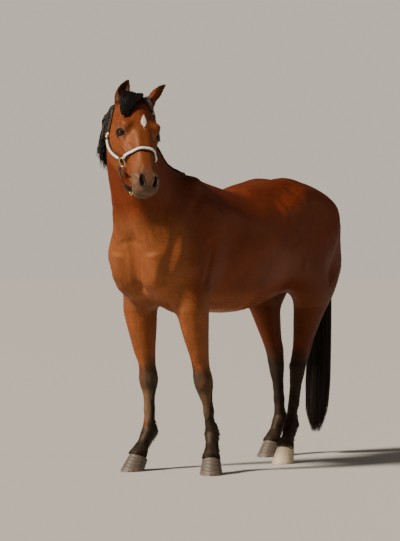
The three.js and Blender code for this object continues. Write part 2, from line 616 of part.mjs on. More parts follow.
// Thins a closed mesh to about a number of triangles. The edge whose loss changes the
// surface least goes first, by the squared distance to the planes it stood for.
function thin({ points, faces }, budget) {
  const count = points.length / 3;
  const alive = new Uint8Array(faces.length / 3).fill(1);
  const around = Array.from({ length: count }, () => []);
  for (let f = 0; f < faces.length; f++) around[faces[f]].push((f / 3) | 0);
  const quadric = new Float64Array(count * 10);
  const P = (v) => [points[3 * v], points[3 * v + 1], points[3 * v + 2]];
  const normalOf = (a, b, c) => {
    const ux = b[0] - a[0], uy = b[1] - a[1], uz = b[2] - a[2];
    const vx = c[0] - a[0], vy = c[1] - a[1], vz = c[2] - a[2];
    return [uy * vz - uz * vy, uz * vx - ux * vz, ux * vy - uy * vx];
  };
  for (let f = 0; f < alive.length; f++) {
    const [a, b, c] = [0, 1, 2].map((k) => P(faces[3 * f + k]));
    const n = normalOf(a, b, c);
    const area = Math.hypot(...n) || 1e-12;
    const [x, y, z] = n.map((v) => v / area);
    const d = -(x * a[0] + y * a[1] + z * a[2]);
    const own = [x * x, x * y, x * z, x * d, y * y, y * z, y * d, z * z, z * d, d * d];
    for (let k = 0; k < 3; k++)
      for (let q = 0; q < 10; q++) quadric[faces[3 * f + k] * 10 + q] += own[q] * area;
  }
  const plan = (a, b) => {
    const q = Array.from({ length: 10 }, (_, i) => quadric[a * 10 + i] + quadric[b * 10 + i]);
    const [xx, xy, xz, xd, yy, yz, yd, zz, zd, dd] = q;
    const error = ([x, y, z]) =>
      x * x * xx + 2 * x * y * xy + 2 * x * z * xz + 2 * x * xd + y * y * yy +
      2 * y * z * yz + 2 * y * yd + z * z * zz + 2 * z * zd + dd;
    const A = P(a), B = P(b);
    const middle = A.map((v, i) => (v + B[i]) / 2);
    const span = Math.hypot(A[0] - B[0], A[1] - B[1], A[2] - B[2]);
    const det = xx * (yy * zz - yz * yz) - xy * (xy * zz - yz * xz) + xz * (xy * yz - yy * xz);
    let best = middle;
    if (Math.abs(det) > 1e-4 * (xx + yy + zz) ** 3) {
      const solved = [
        -(xd * (yy * zz - yz * yz) - xy * (yd * zz - yz * zd) + xz * (yd * yz - yy * zd)) / det,
        -(xx * (yd * zz - yz * zd) - xd * (xy * zz - yz * xz) + xz * (xy * zd - yd * xz)) / det,
        -(xx * (yy * zd - yd * yz) - xy * (xy * zd - yd * xz) + xd * (xy * yz - yy * xz)) / det,
      ];
      if (Math.hypot(...solved.map((v, i) => v - middle[i])) < span * 1.5) best = solved;
    }
    return { a, b, to: best, cost: Math.max(error(best), 0) + span * span * 1e-3 };
  };

  const heap = [];
  const swap = (i, j) => ([heap[i], heap[j]] = [heap[j], heap[i]]);
  const push = (item) => {
    let i = heap.push(item) - 1;
    while (i && heap[(i - 1) >> 1].cost > heap[i].cost) {
      swap(i, (i - 1) >> 1);
      i = (i - 1) >> 1;
    }
  };
  const pop = () => {
    const top = heap[0], last = heap.pop();
    if (heap.length) {
      heap[0] = last;
      for (let i = 0; ; ) {
        const l = 2 * i + 1;
        let least = i;
        if (l < heap.length && heap[l].cost < heap[least].cost) least = l;
        if (l + 1 < heap.length && heap[l + 1].cost < heap[least].cost) least = l + 1;
        if (least === i) break;
        swap(i, least);
        i = least;
      }
    }
    return top;
  };
  const stamp = new Uint32Array(count);
  const queue = (a, b) => push({ ...plan(a, b), when: stamp[a] + stamp[b] });
  const ring = (v) => {
    const near = new Set();
    for (const f of around[v]) if (alive[f]) for (let k = 0; k < 3; k++) near.add(faces[3 * f + k]);
    near.delete(v);
    return near;
  };
  for (let v = 0; v < count; v++) for (const w of ring(v)) if (w > v) queue(v, w);

  const folds = (v, other, to) =>
    around[v].some((f) => {
      if (!alive[f]) return false;
      const t = [faces[3 * f], faces[3 * f + 1], faces[3 * f + 2]];
      if (t.includes(other)) return false;
      const before = normalOf(...t.map(P));
      const after = normalOf(...t.map((w) => (w === v ? to : P(w))));
      const dot = before[0] * after[0] + before[1] * after[1] + before[2] * after[2];
      return dot < 0.3 * Math.hypot(...before) * Math.hypot(...after);
    });
  let left = alive.length;
  const gone = new Uint8Array(count);
  while (left > budget && heap.length) {
    const { a, b, to, when } = pop();
    if (gone[a] || gone[b] || when !== stamp[a] + stamp[b]) continue;
    const shared = [...ring(a)].filter((v) => ring(b).has(v));
    if (shared.length !== 2 || folds(a, b, to) || folds(b, a, to)) continue;
    for (const f of around[b]) {
      if (!alive[f]) continue;
      const t = 3 * f;
      if (faces[t] === a || faces[t + 1] === a || faces[t + 2] === a) {
        alive[f] = 0;
        left--;
        continue;
      }
      for (let k = 0; k < 3; k++) if (faces[t + k] === b) faces[t + k] = a;
      around[a].push(f);
    }
    around[a] = around[a].filter((f) => alive[f]);
    gone[b] = 1;
    points.splice(3 * a, 3, ...to);
    for (let q = 0; q < 10; q++) quadric[a * 10 + q] += quadric[b * 10 + q];
    stamp[a]++;
    for (const v of ring(a)) queue(Math.min(a, v), Math.max(a, v));
  }
  return { points, faces: faces.filter((_, i) => alive[(i / 3) | 0]) };
}

// ---------------------------------------------------------------- solids

const solidFrom = ({ points, faces }) =>
  new wasm.Manifold(new wasm.Mesh({
    numProp: 3, vertProperties: new Float32Array(points), triVerts: new Uint32Array(faces),
  }));

function solidOf(geometry, matrix = new THREE.Matrix4()) {
  const bare = geometry.clone().applyMatrix4(matrix);
  bare.deleteAttribute("normal");
  bare.deleteAttribute("uv");
  const merged = mergeVertices(bare, 1e-3);
  return solidFrom({ points: merged.attributes.position.array, faces: merged.index.array });
}

function geometryOf(solid) {
  const mesh = solid.getMesh();
  const geometry = new THREE.BufferGeometry()
    .setAttribute("position", new THREE.BufferAttribute(new Float32Array(mesh.vertProperties), 3))
    .setIndex(new THREE.BufferAttribute(new Uint32Array(mesh.triVerts), 1));
  geometry.computeVertexNormals();
  return geometry;
}

// The solid with its skin moved out a little, to cut its neighbours clear of it.
function grown(solid, by = GAP) {
  const geometry = geometryOf(solid);
  const { position, normal } = geometry.attributes;
  const points = Array.from(position.array, (v, i) => v + normal.array[i] * by);
  return solidFrom({ points, faces: geometry.index.array });
}

const behind = (solid, normal, point, shift = 0) =>
  solid.trimByPlane(normal.toArray(), normal.dot(point) + shift);
const largest = (solid) => solid.decompose().sort((a, b) => b.volume() - a.volume())[0];

const horse = new THREE.Group();
horse.name = "horse";

const COLOURS = {
  coat: ["#7a3414", 0.55, 0], points: ["#1d1512", 0.6, 0], hair: ["#120e0d", 0.6, 0],
  horn: ["#6f665f", 0.55, 0], pale_horn: ["#cdb9a2", 0.5, 0], eye: ["#120a07", 0.1, 0],
  leather: ["#2a1a14", 0.5, 0], padding: ["#e6e2dc", 0.7, 0], brass: ["#c49a55", 0.3, 1],
};
function place(name, solid, colour) {
  const [tint, roughness, metalness] = COLOURS[colour];
  const material = new THREE.MeshStandardMaterial({ color: tint, roughness, metalness });
  const mesh = new THREE.Mesh(geometryOf(solid), material);
  mesh.name = name;
  horse.add(mesh);
}

// ---------------------------------------------------------------- the body in one skin

const trunk = trunkRegion();
const neck = neckRegion();
const head = headRegion();
const ears = { left: earRegion(EARS.left), right: earRegion(EARS.right) };
const legs = {
  front_left: forelegRegion("front_left"),
  front_right: forelegRegion("front_right"),
  hind_left: hindlegRegion("hind_left"),
  hind_right: hindlegRegion("hind_right"),
};
const body = fleshField([
  trunk, neck, head, ears.left.flesh, ears.right.flesh, ...Object.values(legs).map((l) => l.flesh),
]);

function skin(box, cell, budget) {
  return solidFrom(thin(wrap(body, box, cell), budget));
}

// Where the nodes part: planes across the throat, the base of the neck, and each leg.
const THROAT = {
  point: toWorld(onHead(0, 34, -120)),
  normal: toWorld(onHead(0, 118, 60)).sub(toWorld(onHead(0, 30, -120))).normalize(),
};
const NECK_BASE = { point: at(590, 0, 1400), normal: at(0.74, 0, 0.67).normalize() };

const across = (a, b) => new THREE.Box3().setFromPoints([a, b]);
function block(box, by = 0) {
  const size = box.getSize(new THREE.Vector3()).addScalar(2 * by);
  const matrix = new THREE.Matrix4().setPosition(box.getCenter(new THREE.Vector3()));
  return solidOf(new THREE.BoxGeometry(...size.toArray()), matrix);
}

// ---------------------------------------------------------------- head, ears and eyes

// A square column round a slanted axis, from a height on it.
function column(base, along, from, half, length) {
  const turn = new THREE.Quaternion().setFromUnitVectors(UP, along);
  const centre = base.clone().addScaledVector(along, from + length / 2);
  const matrix = new THREE.Matrix4().compose(centre, turn, new THREE.Vector3(1, 1, 1));
  return solidOf(new THREE.BoxGeometry(2 * half, 2 * half, length), matrix);
}

function buildHead() {
  const box = new THREE.Box3().setFromPoints(
    [-150, 150].flatMap((x) => [-60, 620].flatMap((y) => [-300, 60].map((z) => toWorld(onHead(x, y, z))))),
  );
  box.max.z += 60;
  const shells = [];
  let skull = behind(skin(box, 6, 1690), THROAT.normal, THROAT.point, GAP / 2);
  for (const [side, ear] of Object.entries(ears)) {
    const around = across(ear.base, ear.base).expandByScalar(170);
    const shell = behind(skin(around, 4, 420), THROAT.normal, THROAT.point, GAP / 2)
      .intersect(column(ear.base, ear.along, 26 + GAP, 52, 200));
    shells.push(largest(shell));
    place(`ear_${side}`, shells.at(-1), "coat");
    skull = largest(skull.subtract(column(ear.base, ear.along, 26, 53, 200)));
  }
  for (const [side, out] of [["left", 1], ["right", -1]]) {
    const centre = toWorld(onHead(out * EYE.left, EYE.down, EYE.out));
    const move = new THREE.Matrix4().setPosition(centre);
    const ball = (r) => solidOf(new THREE.SphereGeometry(r, 12, 8), move);
    const gaze = toWorld(onHead(out * GAZE.x, GAZE.y, GAZE.z)).sub(toWorld(onHead(0, 0, 0)));
    const cap = (solid, at) => solid.trimByPlane(gaze.toArray(), gaze.dot(centre) + at);
    skull = skull.subtract(cap(ball(EYE.radius + GAP), 2 - GAP));
    place(`eye_${side}`, cap(ball(EYE.radius), 2), "eye");
  }
  return { skull: largest(skull), shells };
}

// ---------------------------------------------------------------- hooves

// A hoof's rings run from the flat sole to the coronet, which slopes down to the heel.
function hoofSolid(line) {
  const { heel, toe, half, top, topHalf, topLength, height } = HOOF;
  const sole = (heel + toe) / 2;
  const foot = line.point(FORE_JOINTS.fetlock).setZ(0);
  const points = [], faces = [];
  const rings = 3, around = 16;
  for (let i = 0; i <= rings; i++) {
    const t = i / rings;
    const centre = THREE.MathUtils.lerp(sole, top, t);
    const length = THREE.MathUtils.lerp((toe - heel) / 2, topLength, t);
    const width = THREE.MathUtils.lerp(half, topHalf, t);
    for (let k = 0; k < around; k++) {
      const a = (k / around) * 2 * Math.PI;
      const u = Math.cos(a) * length;
      const v = Math.sin(a) * width * (1 - 0.08 * Math.cos(a));
      const p = foot.clone().addScaledVector(line.toe, centre + u).addScaledVector(line.left, v);
      points.push(p.x, p.y, t * (height + u * 0.46));
    }
  }
  for (let i = 0; i < rings; i++)
    for (let k = 0; k < around; k++) {
      const a = i * around + k, b = i * around + ((k + 1) % around);
      faces.push(a, b, b + around, a, b + around, a + around);
    }
  for (let k = 1; k < around - 1; k++) {
    faces.push(0, k + 1, k);
    faces.push(rings * around, rings * around + k, rings * around + k + 1);
  }
  const solid = solidFrom({ points, faces });
  if (solid.volume() > 0) return solid;
  for (let f = 0; f < faces.length; f += 3) [faces[f], faces[f + 1]] = [faces[f + 1], faces[f]];
  return solidFrom({ points, faces });
}

function coronetPlane(line) {
  const { top, height } = HOOF;
  const normal = UP.clone().addScaledVector(line.toe, -0.46).normalize();
  const point = line.point(FORE_JOINTS.fetlock).setZ(height).addScaledVector(line.toe, top);
  return { normal, point };
}

// ---------------------------------------------------------------- legs

function buildLegs() {
  const cutters = [];
  for (const [name, leg] of Object.entries(legs)) {
    const out = STANCE[name].side;
    const fore = name.startsWith("front");
    const top = fore ? 872 : 880;
    const hip = leg.line.point(top - 60);
    const [ahead, back] = fore ? [135, 125] : [125, 205];
    const cutter = across(
      new THREE.Vector3(out * (fore ? 92 : 52), hip.y + back, 740),
      new THREE.Vector3(out * 330, hip.y - ahead, top),
    );
    const below = across(
      new THREE.Vector3(out * 10, hip.y + 420, -50),
      new THREE.Vector3(out * 380, hip.y - 420, 760),
    );
    const region = across(at(-960, out * 10, 40), at(760, out * 360, top + 60));
    region.min.y = leg.line.point(0).y - 260;
    region.max.y = hip.y + back + 60;
    const limb = skin(region, 8, 730)
      .trimByPlane([0, 0, -1], -(top - GAP))
      .intersect(block(cutter, -GAP).add(block(below)));
    const joint = (fore ? FORE_JOINTS.knee : HIND_JOINTS.hock) - 62;
    const upper = largest(behind(limb, UP, at(0, 0, joint), GAP / 2));
    const { normal, point } = coronetPlane(leg.line);
    const lower = behind(behind(limb, UP.clone().negate(), at(0, 0, joint), GAP / 2), normal, point, GAP);
    place(`${fore ? "forearm" : "gaskin"}_${name}`, upper, "coat");
    place(`cannon_${name}`, largest(lower), "points");
    place(`hoof_${name}`, hoofSolid(leg.line), name === "hind_left" ? "pale_horn" : "horn");
    cutters.push(block(cutter));
  }
  return cutters;
}

// ---------------------------------------------------------------- mane, forelock and tail

// Hair is its own sleeve, cut clear of the flesh it lies on.
function hair(stations, budget, flesh, options) {
  const lock = sleeve(stations, { steps: 5, ...options });
  const box = new THREE.Box3().setFromCenterAndSize(lock.centre, new THREE.Vector3(1, 1, 1));
  const field = fleshField([new Region().add(lock)]);
  let solid = solidFrom(thin(wrap(field, box.expandByScalar(lock.reach + 20), 7), budget));
  for (const f of flesh) solid = largest(solid.subtract(grown(f, 1.2)).subtract(f));
  return solid;
}

function buildHair(skull, throat, barrel, shells, straps) {
  // The mane falls on the right of the neck: each station lies on the skin, a way up the
  // right side, at the middle of the hair's drop.
  const fall = at(0.22, -0.12, -0.95).normalize();
  const station = ([t, rise, thick, half]) => {
    const c = neck.line.getPoint(t);
    const along = neck.line.getTangent(t);
    const crest = along.clone().cross(NECK_LEFT).normalize();
    const way = NECK_LEFT.clone().multiplyScalar(-Math.cos(radians(rise)));
    way.addScaledVector(crest, Math.sin(radians(rise)));
    const p = c.clone();
    for (let i = 0; i < 40; i++) p.addScaledVector(way, -body(p.x, p.y, p.z) * 0.8);
    return { at: p.addScaledVector(way, thick * 0.3), fore: thick, aft: thick, half };
  };
  const mane = [
    [1, 34, 14, 40], [0.9, 20, 24, 78], [0.76, 16, 27, 94], [0.6, 26, 24, 98],
    [0.46, 44, 20, 86], [0.32, 60, 17, 62], [0.18, 74, 14, 38], [0.06, 84, 11, 20],
  ].map(station);
  place("mane", hair(mane, 210, [skull, throat, barrel, ...shells, ...straps], { left: fall }), "hair");

  const down = (p) => toWorld(onHead(...p));
  const forelock = [
    { at: down([-4, -38, -32]), fore: 22, aft: 20, half: 40 },
    { at: down([-32, 2, -4]), fore: 18, aft: 18, half: 50 },
    { at: down([-58, 46, 4]), fore: 14, aft: 16, half: 48 },
    { at: down([-72, 90, 2]), fore: 12, aft: 14, half: 36 },
    { at: down([-76, 128, 0]), fore: 8, aft: 10, half: 16 },
  ];
  place("forelock", hair(forelock, 80, [skull, throat, ...shells, ...straps], { left: HEAD_LEFT }), "hair");

  const tail = [
    { at: at(-878, 0, 1392), fore: 30, aft: 34, half: 34 },
    { at: at(-912, 0, 1300), fore: 38, aft: 44, half: 46 },
    { at: at(-918, 0, 1130), fore: 46, aft: 48, half: 58 },
    { at: at(-910, 0, 900), fore: 54, aft: 52, half: 66 },
    { at: at(-896, 0, 650), fore: 60, aft: 54, half: 74 },
    { at: at(-880, 0, 420), fore: 62, aft: 52, half: 82 },
    { at: at(-868, 0, 250), fore: 52, aft: 42, half: 74 },
    { at: at(-860, 0, 125), fore: 24, aft: 22, half: 38 },
  ];
  place("tail", hair(tail, 240, [barrel], { left: LEFT }), "hair");
}

// ---------------------------------------------------------------- headcollar

const slope = (p) => {
  const e = 2;
  const d = (axis) => {
    const a = p.clone(), b = p.clone();
    a[axis] += e;
    b[axis] -= e;
    return body(a.x, a.y, a.z) - body(b.x, b.y, b.z);
  };
  return new THREE.Vector3(d("x"), d("y"), d("z")).normalize();
};

// Lays a line of points given on the head at a distance from the skin, and pulls it taut.
function drape(path, clear, count, hanging = false) {
  const curve = new THREE.CatmullRomCurve3(path.map((p) => toWorld(onHead(...p))), false, "centripetal");
  const points = curve.getSpacedPoints(count);
  const push = (p, always) => {
    const off = body(p.x, p.y, p.z);
    if (always || off < clear) p.addScaledVector(slope(p), clear - off);
  };
  for (let i = 0; i < 14; i++) for (const p of points) push(p, !hanging);
  if (hanging) return points;
  for (let i = 0; i < 12; i++) {
    const before = points.map((p) => p.clone());
    points.forEach((p, k) => {
      if (k === 0 || k === points.length - 1) return;
      const near = before[k + 1].clone().add(before[k - 1]);
      p.lerp(near.multiplyScalar(0.5), 0.5);
      push(p, false);
    });
  }
  return points;
}

// A flat strap along a draped line.
function strap(path, { width = 26, thick = 4, clear = 3.5, count = 20, hanging = false } = {}) {
  const line = drape(path, clear, count, hanging);
  const n = line.length;
  const points = [], faces = [];
  line.forEach((p, k) => {
    const ahead = line[Math.min(k + 1, n - 1)];
    const before = line[Math.max(k - 1, 0)];
    const along = ahead.clone().sub(before).normalize();
    const out = slope(p);
    out.addScaledVector(along, -out.dot(along)).normalize();
    const side = along.clone().cross(out).multiplyScalar(width / 2);
    for (const [s, o] of [[-1, 0], [1, 0], [1, thick], [-1, thick]])
      points.push(...p.clone().addScaledVector(side, s).addScaledVector(out, o).toArray());
  });
  for (let k = 0; k < n - 1; k++)
    for (let c = 0; c < 4; c++) {
      const a = 4 * k + c, b = 4 * k + ((c + 1) % 4);
      faces.push(a, b, b + 4, a, b + 4, a + 4);
    }
  const end = 4 * n - 4;
  faces.push(0, 2, 1, 0, 3, 2, end, end + 1, end + 2, end, end + 2, end + 3);
  let solid = solidFrom({ points, faces });
  if (solid.volume() < 0) {
    for (let f = 0; f < faces.length; f += 3) [faces[f], faces[f + 1]] = [faces[f + 1], faces[f]];
    solid = solidFrom({ points, faces });
  }
  return solid;
}

// A metal ring lying flat on the skin at a spot on the head, its hole facing outwards.
function ring(spot, radius, wire, clear, stretch = 1) {
  const centre = drape([spot, [spot[0], spot[1] + 4, spot[2]]], clear, 1)[0];
  const turn = new THREE.Matrix4().lookAt(slope(centre), new THREE.Vector3(), HEAD_DOWN);
  turn.scale(new THREE.Vector3(1, stretch, 1)).setPosition(centre);
  return solidOf(new THREE.TorusGeometry(radius, wire, 5, 12), turn);
}

function buildHalter(flesh) {
  const noseY = 340;
  // the ring under the chin hangs on its strap and faces sideways
  const hung = new THREE.Matrix4().lookAt(HEAD_LEFT, new THREE.Vector3(), HEAD_DOWN);
  const rings = {
    left: ring([88, 330, -148], 19, 4, 14, 1.25),
    right: ring([-88, 330, -148], 19, 4, 14, 1.25),
    chin: solidOf(new THREE.TorusGeometry(18, 3.5, 5, 12), hung.setPosition(toWorld(onHead(0, 419, -251)))),
  };
  const clearOf = (solid, ...others) => {
    for (const other of others) solid = largest(solid.subtract(grown(other, 1)).subtract(other));
    return solid;
  };
  const parts = {
    halter_noseband: strap([
      [-86, 326, -130], [-82, 330, -84], [-56, noseY + 4, -8], [0, noseY, 12],
      [56, noseY + 4, -8], [82, 330, -84], [86, 326, -130],
    ], { width: 24, thick: 7, count: 26 }),
    halter_chin: strap([
      [-84, 344, -164], [-72, 362, -196], [-44, 392, -228], [-14, 409, -244],
      [14, 409, -244], [44, 392, -228], [72, 362, -196], [84, 344, -164],
    ], { width: 18, count: 22, clear: 5, hanging: true }),
    halter_crown: strap([
      [-108, 124, -174], [-106, 74, -142], [-92, 26, -118], [-52, -14, -112], [0, -26, -110],
      [52, -14, -112], [92, 26, -118], [106, 74, -142], [108, 124, -174],
    ], { width: 24, count: 26, clear: 5 }),
  };
  for (const [side, out] of [["left", 1], ["right", -1]])
    parts[`halter_cheek_${side}`] = strap([
      [out * 88, 314, -160], [out * 94, 262, -182], [out * 106, 200, -192], [out * 108, 140, -182],
    ], { width: 24, thick: 7, count: 14 });
  for (const [name, part] of Object.entries(rings)) place(`ring_${name}`, part, "brass");
  const others = [];
  for (const [name, part] of Object.entries(parts)) {
    const solid = clearOf(part, ...Object.values(rings), ...others, ...flesh);
    const padded = name === "halter_noseband" || name.startsWith("halter_cheek");
    place(name, solid, padded ? "padding" : "leather");
    others.push(solid);
  }
  return [...others, ...Object.values(rings)];
}

function build() {
  const { skull, shells } = buildHead();
  place("head", skull, "coat");
  let throat = skin(across(at(330, -330, 980), at(1150, 330, 2010)), 13, 900);
  throat = behind(throat, THROAT.normal.clone().negate(), THROAT.point, GAP / 2);
  throat = largest(behind(throat, NECK_BASE.normal, NECK_BASE.point, GAP / 2));
  place("neck", throat, "coat");
  let barrel = skin(across(at(-980, -370, 690), at(960, 370, 1700)), 13, 1370);
  barrel = behind(barrel, NECK_BASE.normal.clone().negate(), NECK_BASE.point, GAP / 2);
  for (const cutter of buildLegs()) barrel = barrel.subtract(cutter);
  barrel = largest(barrel);
  place("trunk", barrel, "coat");
  const straps = buildHalter([skull, throat, ...shells]);
  buildHair(skull, throat, barrel, shells, straps);

  // The origin goes to the middle of the footprint, on the ground.
  const box = new THREE.Box3().setFromObject(horse);
  const shift = box.getCenter(new THREE.Vector3()).setZ(box.min.z).negate();
  for (const mesh of horse.children) mesh.geometry.translate(shift.x, shift.y, shift.z);
}
build();

export default horse;
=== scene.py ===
# A life-size standing bay horse in a padded leather headcollar, dressed round its frame.
import math
import bpy
import bmesh
import numpy as np
from mathutils import Vector, Matrix
from mathutils.bvhtree import BVHTree


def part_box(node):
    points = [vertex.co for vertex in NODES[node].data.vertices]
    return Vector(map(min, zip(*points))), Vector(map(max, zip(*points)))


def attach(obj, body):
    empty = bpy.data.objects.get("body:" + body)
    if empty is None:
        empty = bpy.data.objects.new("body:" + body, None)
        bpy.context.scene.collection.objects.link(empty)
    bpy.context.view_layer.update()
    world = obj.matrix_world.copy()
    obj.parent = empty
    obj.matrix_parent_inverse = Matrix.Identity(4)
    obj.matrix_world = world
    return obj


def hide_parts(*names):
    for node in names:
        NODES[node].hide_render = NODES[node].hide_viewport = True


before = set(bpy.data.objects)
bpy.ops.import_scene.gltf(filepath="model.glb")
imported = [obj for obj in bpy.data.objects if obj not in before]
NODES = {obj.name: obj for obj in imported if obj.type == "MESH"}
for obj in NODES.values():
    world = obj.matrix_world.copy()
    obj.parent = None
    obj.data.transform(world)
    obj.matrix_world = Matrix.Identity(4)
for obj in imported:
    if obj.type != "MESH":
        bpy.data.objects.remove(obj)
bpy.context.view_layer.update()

# ------------------------------------------------------------------ places on the horse

# The frame's origin is the middle of the footprint; measures on the horse are given in
# millimetres forward, left and up from a point under its chest.
FOOTPRINT = np.array([-0.02199, 0.05977, 0.0])


def at(forward, left, up):
    """A point given forward, left and up in millimetres, in the frame, in metres."""
    return np.array([left, -forward, up]) / 1000.0 + FOOTPRINT


def unit(v):
    v = np.asarray(v, float)
    return v / np.maximum(np.linalg.norm(v, axis=-1, keepdims=True), 1e-12)


def turned(v, axis, degrees):
    """v turned about a unit axis."""
    a = math.radians(degrees)
    return v * math.cos(a) + np.cross(axis, v) * math.sin(a) + axis * np.dot(axis, v) * (1 - math.cos(a))


HEAD_TURN, HEAD_PITCH, HEAD_ROLL = 59, 38, 7
POLL = at(838, 90, 1930)
UP = np.array([0.0, 0.0, 1.0])
FACING = np.array([math.sin(math.radians(HEAD_TURN)), -math.cos(math.radians(HEAD_TURN)), 0.0])
HEAD_LEFT = turned(np.cross(UP, FACING), FACING, -HEAD_ROLL)
HEAD_DOWN = turned(-UP * math.cos(math.radians(HEAD_PITCH)) + FACING * math.sin(math.radians(HEAD_PITCH)),
                   FACING, -HEAD_ROLL)
HEAD_FACE = np.cross(HEAD_DOWN, HEAD_LEFT)
HEAD_AXES = np.array([HEAD_LEFT, HEAD_DOWN, HEAD_FACE])


def on_head(left, down, out):
    """A point given in millimetres to the head's left, down the face and out of it."""
    return POLL + np.array([left, down, out]) @ HEAD_AXES / 1000.0


def head_of(points):
    """Points in the head's own measures, in millimetres."""
    return (points - POLL) @ HEAD_AXES.T * 1000.0


def horse_of(points):
    """Points as forward, left and up in millimetres."""
    p = (points - FOOTPRINT) * 1000.0
    return np.stack([-p[:, 1], p[:, 0], p[:, 2]], 1)


def smooth(low, high, x):
    t = np.clip((x - low) / (high - low), 0, 1)
    return t * t * (3 - 2 * t)


# ------------------------------------------------------------------ meshes as arrays

FLESH = ["head", "neck", "trunk", "ear_left", "ear_right"] + [
    f"{part}_{leg}" for leg in ("front_left", "front_right", "hind_left", "hind_right")
    for part in (("forearm" if "front" in leg else "gaskin"), "cannon")]


def grown_copy(name, by):
    """A merged copy of a CAD node with its surface moved out."""
    bm = bmesh.new()
    bm.from_mesh(NODES[name].data)
    bmesh.ops.remove_doubles(bm, verts=bm.verts, dist=2e-5)
    bm.normal_update()
    for v in bm.verts:
        v.co += v.normal * by
    mesh = bpy.data.meshes.new(name + "_copy")
    bm.to_mesh(mesh)
    bm.free()
    piece = bpy.data.objects.new(name + "_copy", mesh)
    bpy.context.collection.objects.link(piece)
    return piece


def applied(piece):
    """The piece's mesh becomes what its modifiers make of it."""
    depsgraph = bpy.context.evaluated_depsgraph_get()
    mesh = bpy.data.meshes.new_from_object(piece.evaluated_get(depsgraph))
    piece.modifiers.clear()
    piece.data = mesh
    return piece


def points_of(mesh):
    p = np.empty(len(mesh.vertices) * 3)
    mesh.vertices.foreach_get("co", p)
    return p.reshape(-1, 3)


def edges_of(mesh):
    e = np.empty(len(mesh.edges) * 2, int)
    mesh.edges.foreach_get("vertices", e)
    return e.reshape(-1, 2)


def normals_of(mesh):
    n = np.empty(len(mesh.vertices) * 3, np.float32)
    mesh.vertex_normals.foreach_get("vector", n)
    return n.reshape(-1, 3).astype(float)


def move_to(mesh, points):
    mesh.vertices.foreach_set("co", points.ravel())
    mesh.update()


def neighbour_mean(values, edges, degree):
    total = np.stack([
        np.bincount(edges[:, 0], values[edges[:, 1], k], len(values))
        + np.bincount(edges[:, 1], values[edges[:, 0], k], len(values)) for k in range(values.shape[1])], 1)
    return total / degree


def edge_length(points, edges):
    """The mean length of the edges round each point."""
    length = np.linalg.norm(points[edges[:, 0]] - points[edges[:, 1]], axis=1)
    total = np.bincount(edges[:, 0], length, len(points)) + np.bincount(edges[:, 1], length, len(points))
    return total / np.maximum(np.bincount(edges.ravel(), minlength=len(points)), 1)


def softened(points, edges, reach, times=110):
    """Points with forms smaller than reach, in metres at each point, taken out. What the
    first pass shrinks the second gives back, so thin limbs keep their thickness."""
    degree = np.bincount(edges.ravel(), minlength=len(points))[:, None].astype(float)
    s = np.clip(2 * reach ** 2 / (times * edge_length(points, edges) ** 2), 0, 0.95)[:, None]

    def passed(q):
        for _ in range(times):
            q = q + s * (neighbour_mean(q, edges, degree) - q)
        return q

    once = passed(points)
    return once + passed(points - once)


# ------------------------------------------------------------------ the one skin

EYE = {"left": 90, "down": 203, "out": -70, "radius": 25.0}
GAZE = unit(np.array([0.84, 0.12, 0.52]))
EYE_HALF = 23.0
SIDES = {"left": 1, "right": -1}


def eye_frame(out):
    """An eye's centre, and its directions: out of the eye, towards the back corner, and up."""
    centre = on_head(out * EYE["left"], EYE["down"], EYE["out"])
    gaze = unit(np.array([out * GAZE[0], GAZE[1], GAZE[2]]) @ HEAD_AXES)
    back = np.array([0.0, -0.42, -0.86]) @ HEAD_AXES
    back = unit(back - gaze * np.dot(back, gaze))
    return centre, gaze, back, unit(np.cross(gaze, back)) * (1 if np.cross(gaze, back)[2] > 0 else -1)


def raw_skin():
    """The flesh of the frame joined to one closed skin, remeshed evenly."""
    first, *rest = [grown_copy(n, 0.0008) for n in FLESH + ["eye_left", "eye_right"]]
    for other in rest:
        union = first.modifiers.new("join", "BOOLEAN")
        union.operation, union.solver, union.object = "UNION", "MANIFOLD", other
        applied(first)
    for other in rest:
        bpy.data.objects.remove(other)
    remesh = first.modifiers.new("remesh", "REMESH")
    remesh.mode, remesh.voxel_size, remesh.adaptivity = "VOXEL", 0.0056, 0.0
    applied(first)
    first.name = first.data.name = "skin"
    first.data.materials.clear()
    first.data.polygons.foreach_set("material_index", [0] * len(first.data.polygons))
    return first


def refined(piece, chosen, cuts=1):
    """Splits the faces whose corners are all chosen."""
    bm = bmesh.new()
    bm.from_mesh(piece.data)
    bm.verts.ensure_lookup_table()
    edges = [e for e in bm.edges if chosen[e.verts[0].index] and chosen[e.verts[1].index]]
    bmesh.ops.subdivide_edges(bm, edges=edges, cuts=cuts, use_grid_fill=True)
    bm.to_mesh(piece.data)
    bm.free()


def distance_to(points, line, reach):
    """How far the points are from a line of points, up to reach, and how far along it each
    lies, 0 to 1."""
    line = np.asarray(line)
    spans = len(line) - 1
    low, high = line.min(0) - reach, line.max(0) + reach
    close = np.all((points > low) & (points < high), axis=1).nonzero()[0]
    p = points[close]
    d_best, a_best = np.full(len(p), float(reach)), np.zeros(len(p))
    for i in range(spans):
        a, b = line[i], line[i + 1]
        t = np.clip((p - a) @ (b - a) / max(np.dot(b - a, b - a), 1e-12), 0, 1)
        d = np.linalg.norm(p - a - t[:, None] * (b - a), axis=1)
        nearer = d < d_best
        d_best[nearer] = d[nearer]
        a_best[nearer] = (i + t[nearer]) / spans
    distance, along = np.full(len(points), float(reach)), np.zeros(len(points))
    distance[close], along[close] = d_best, a_best
    return distance, along


def near_line(points, line, reach):
    """1 on the line, falling smoothly to 0 at reach, and the place along it."""
    distance, along = distance_to(points, line, reach)
    return (1 - (distance / reach) ** 2) ** 2, along


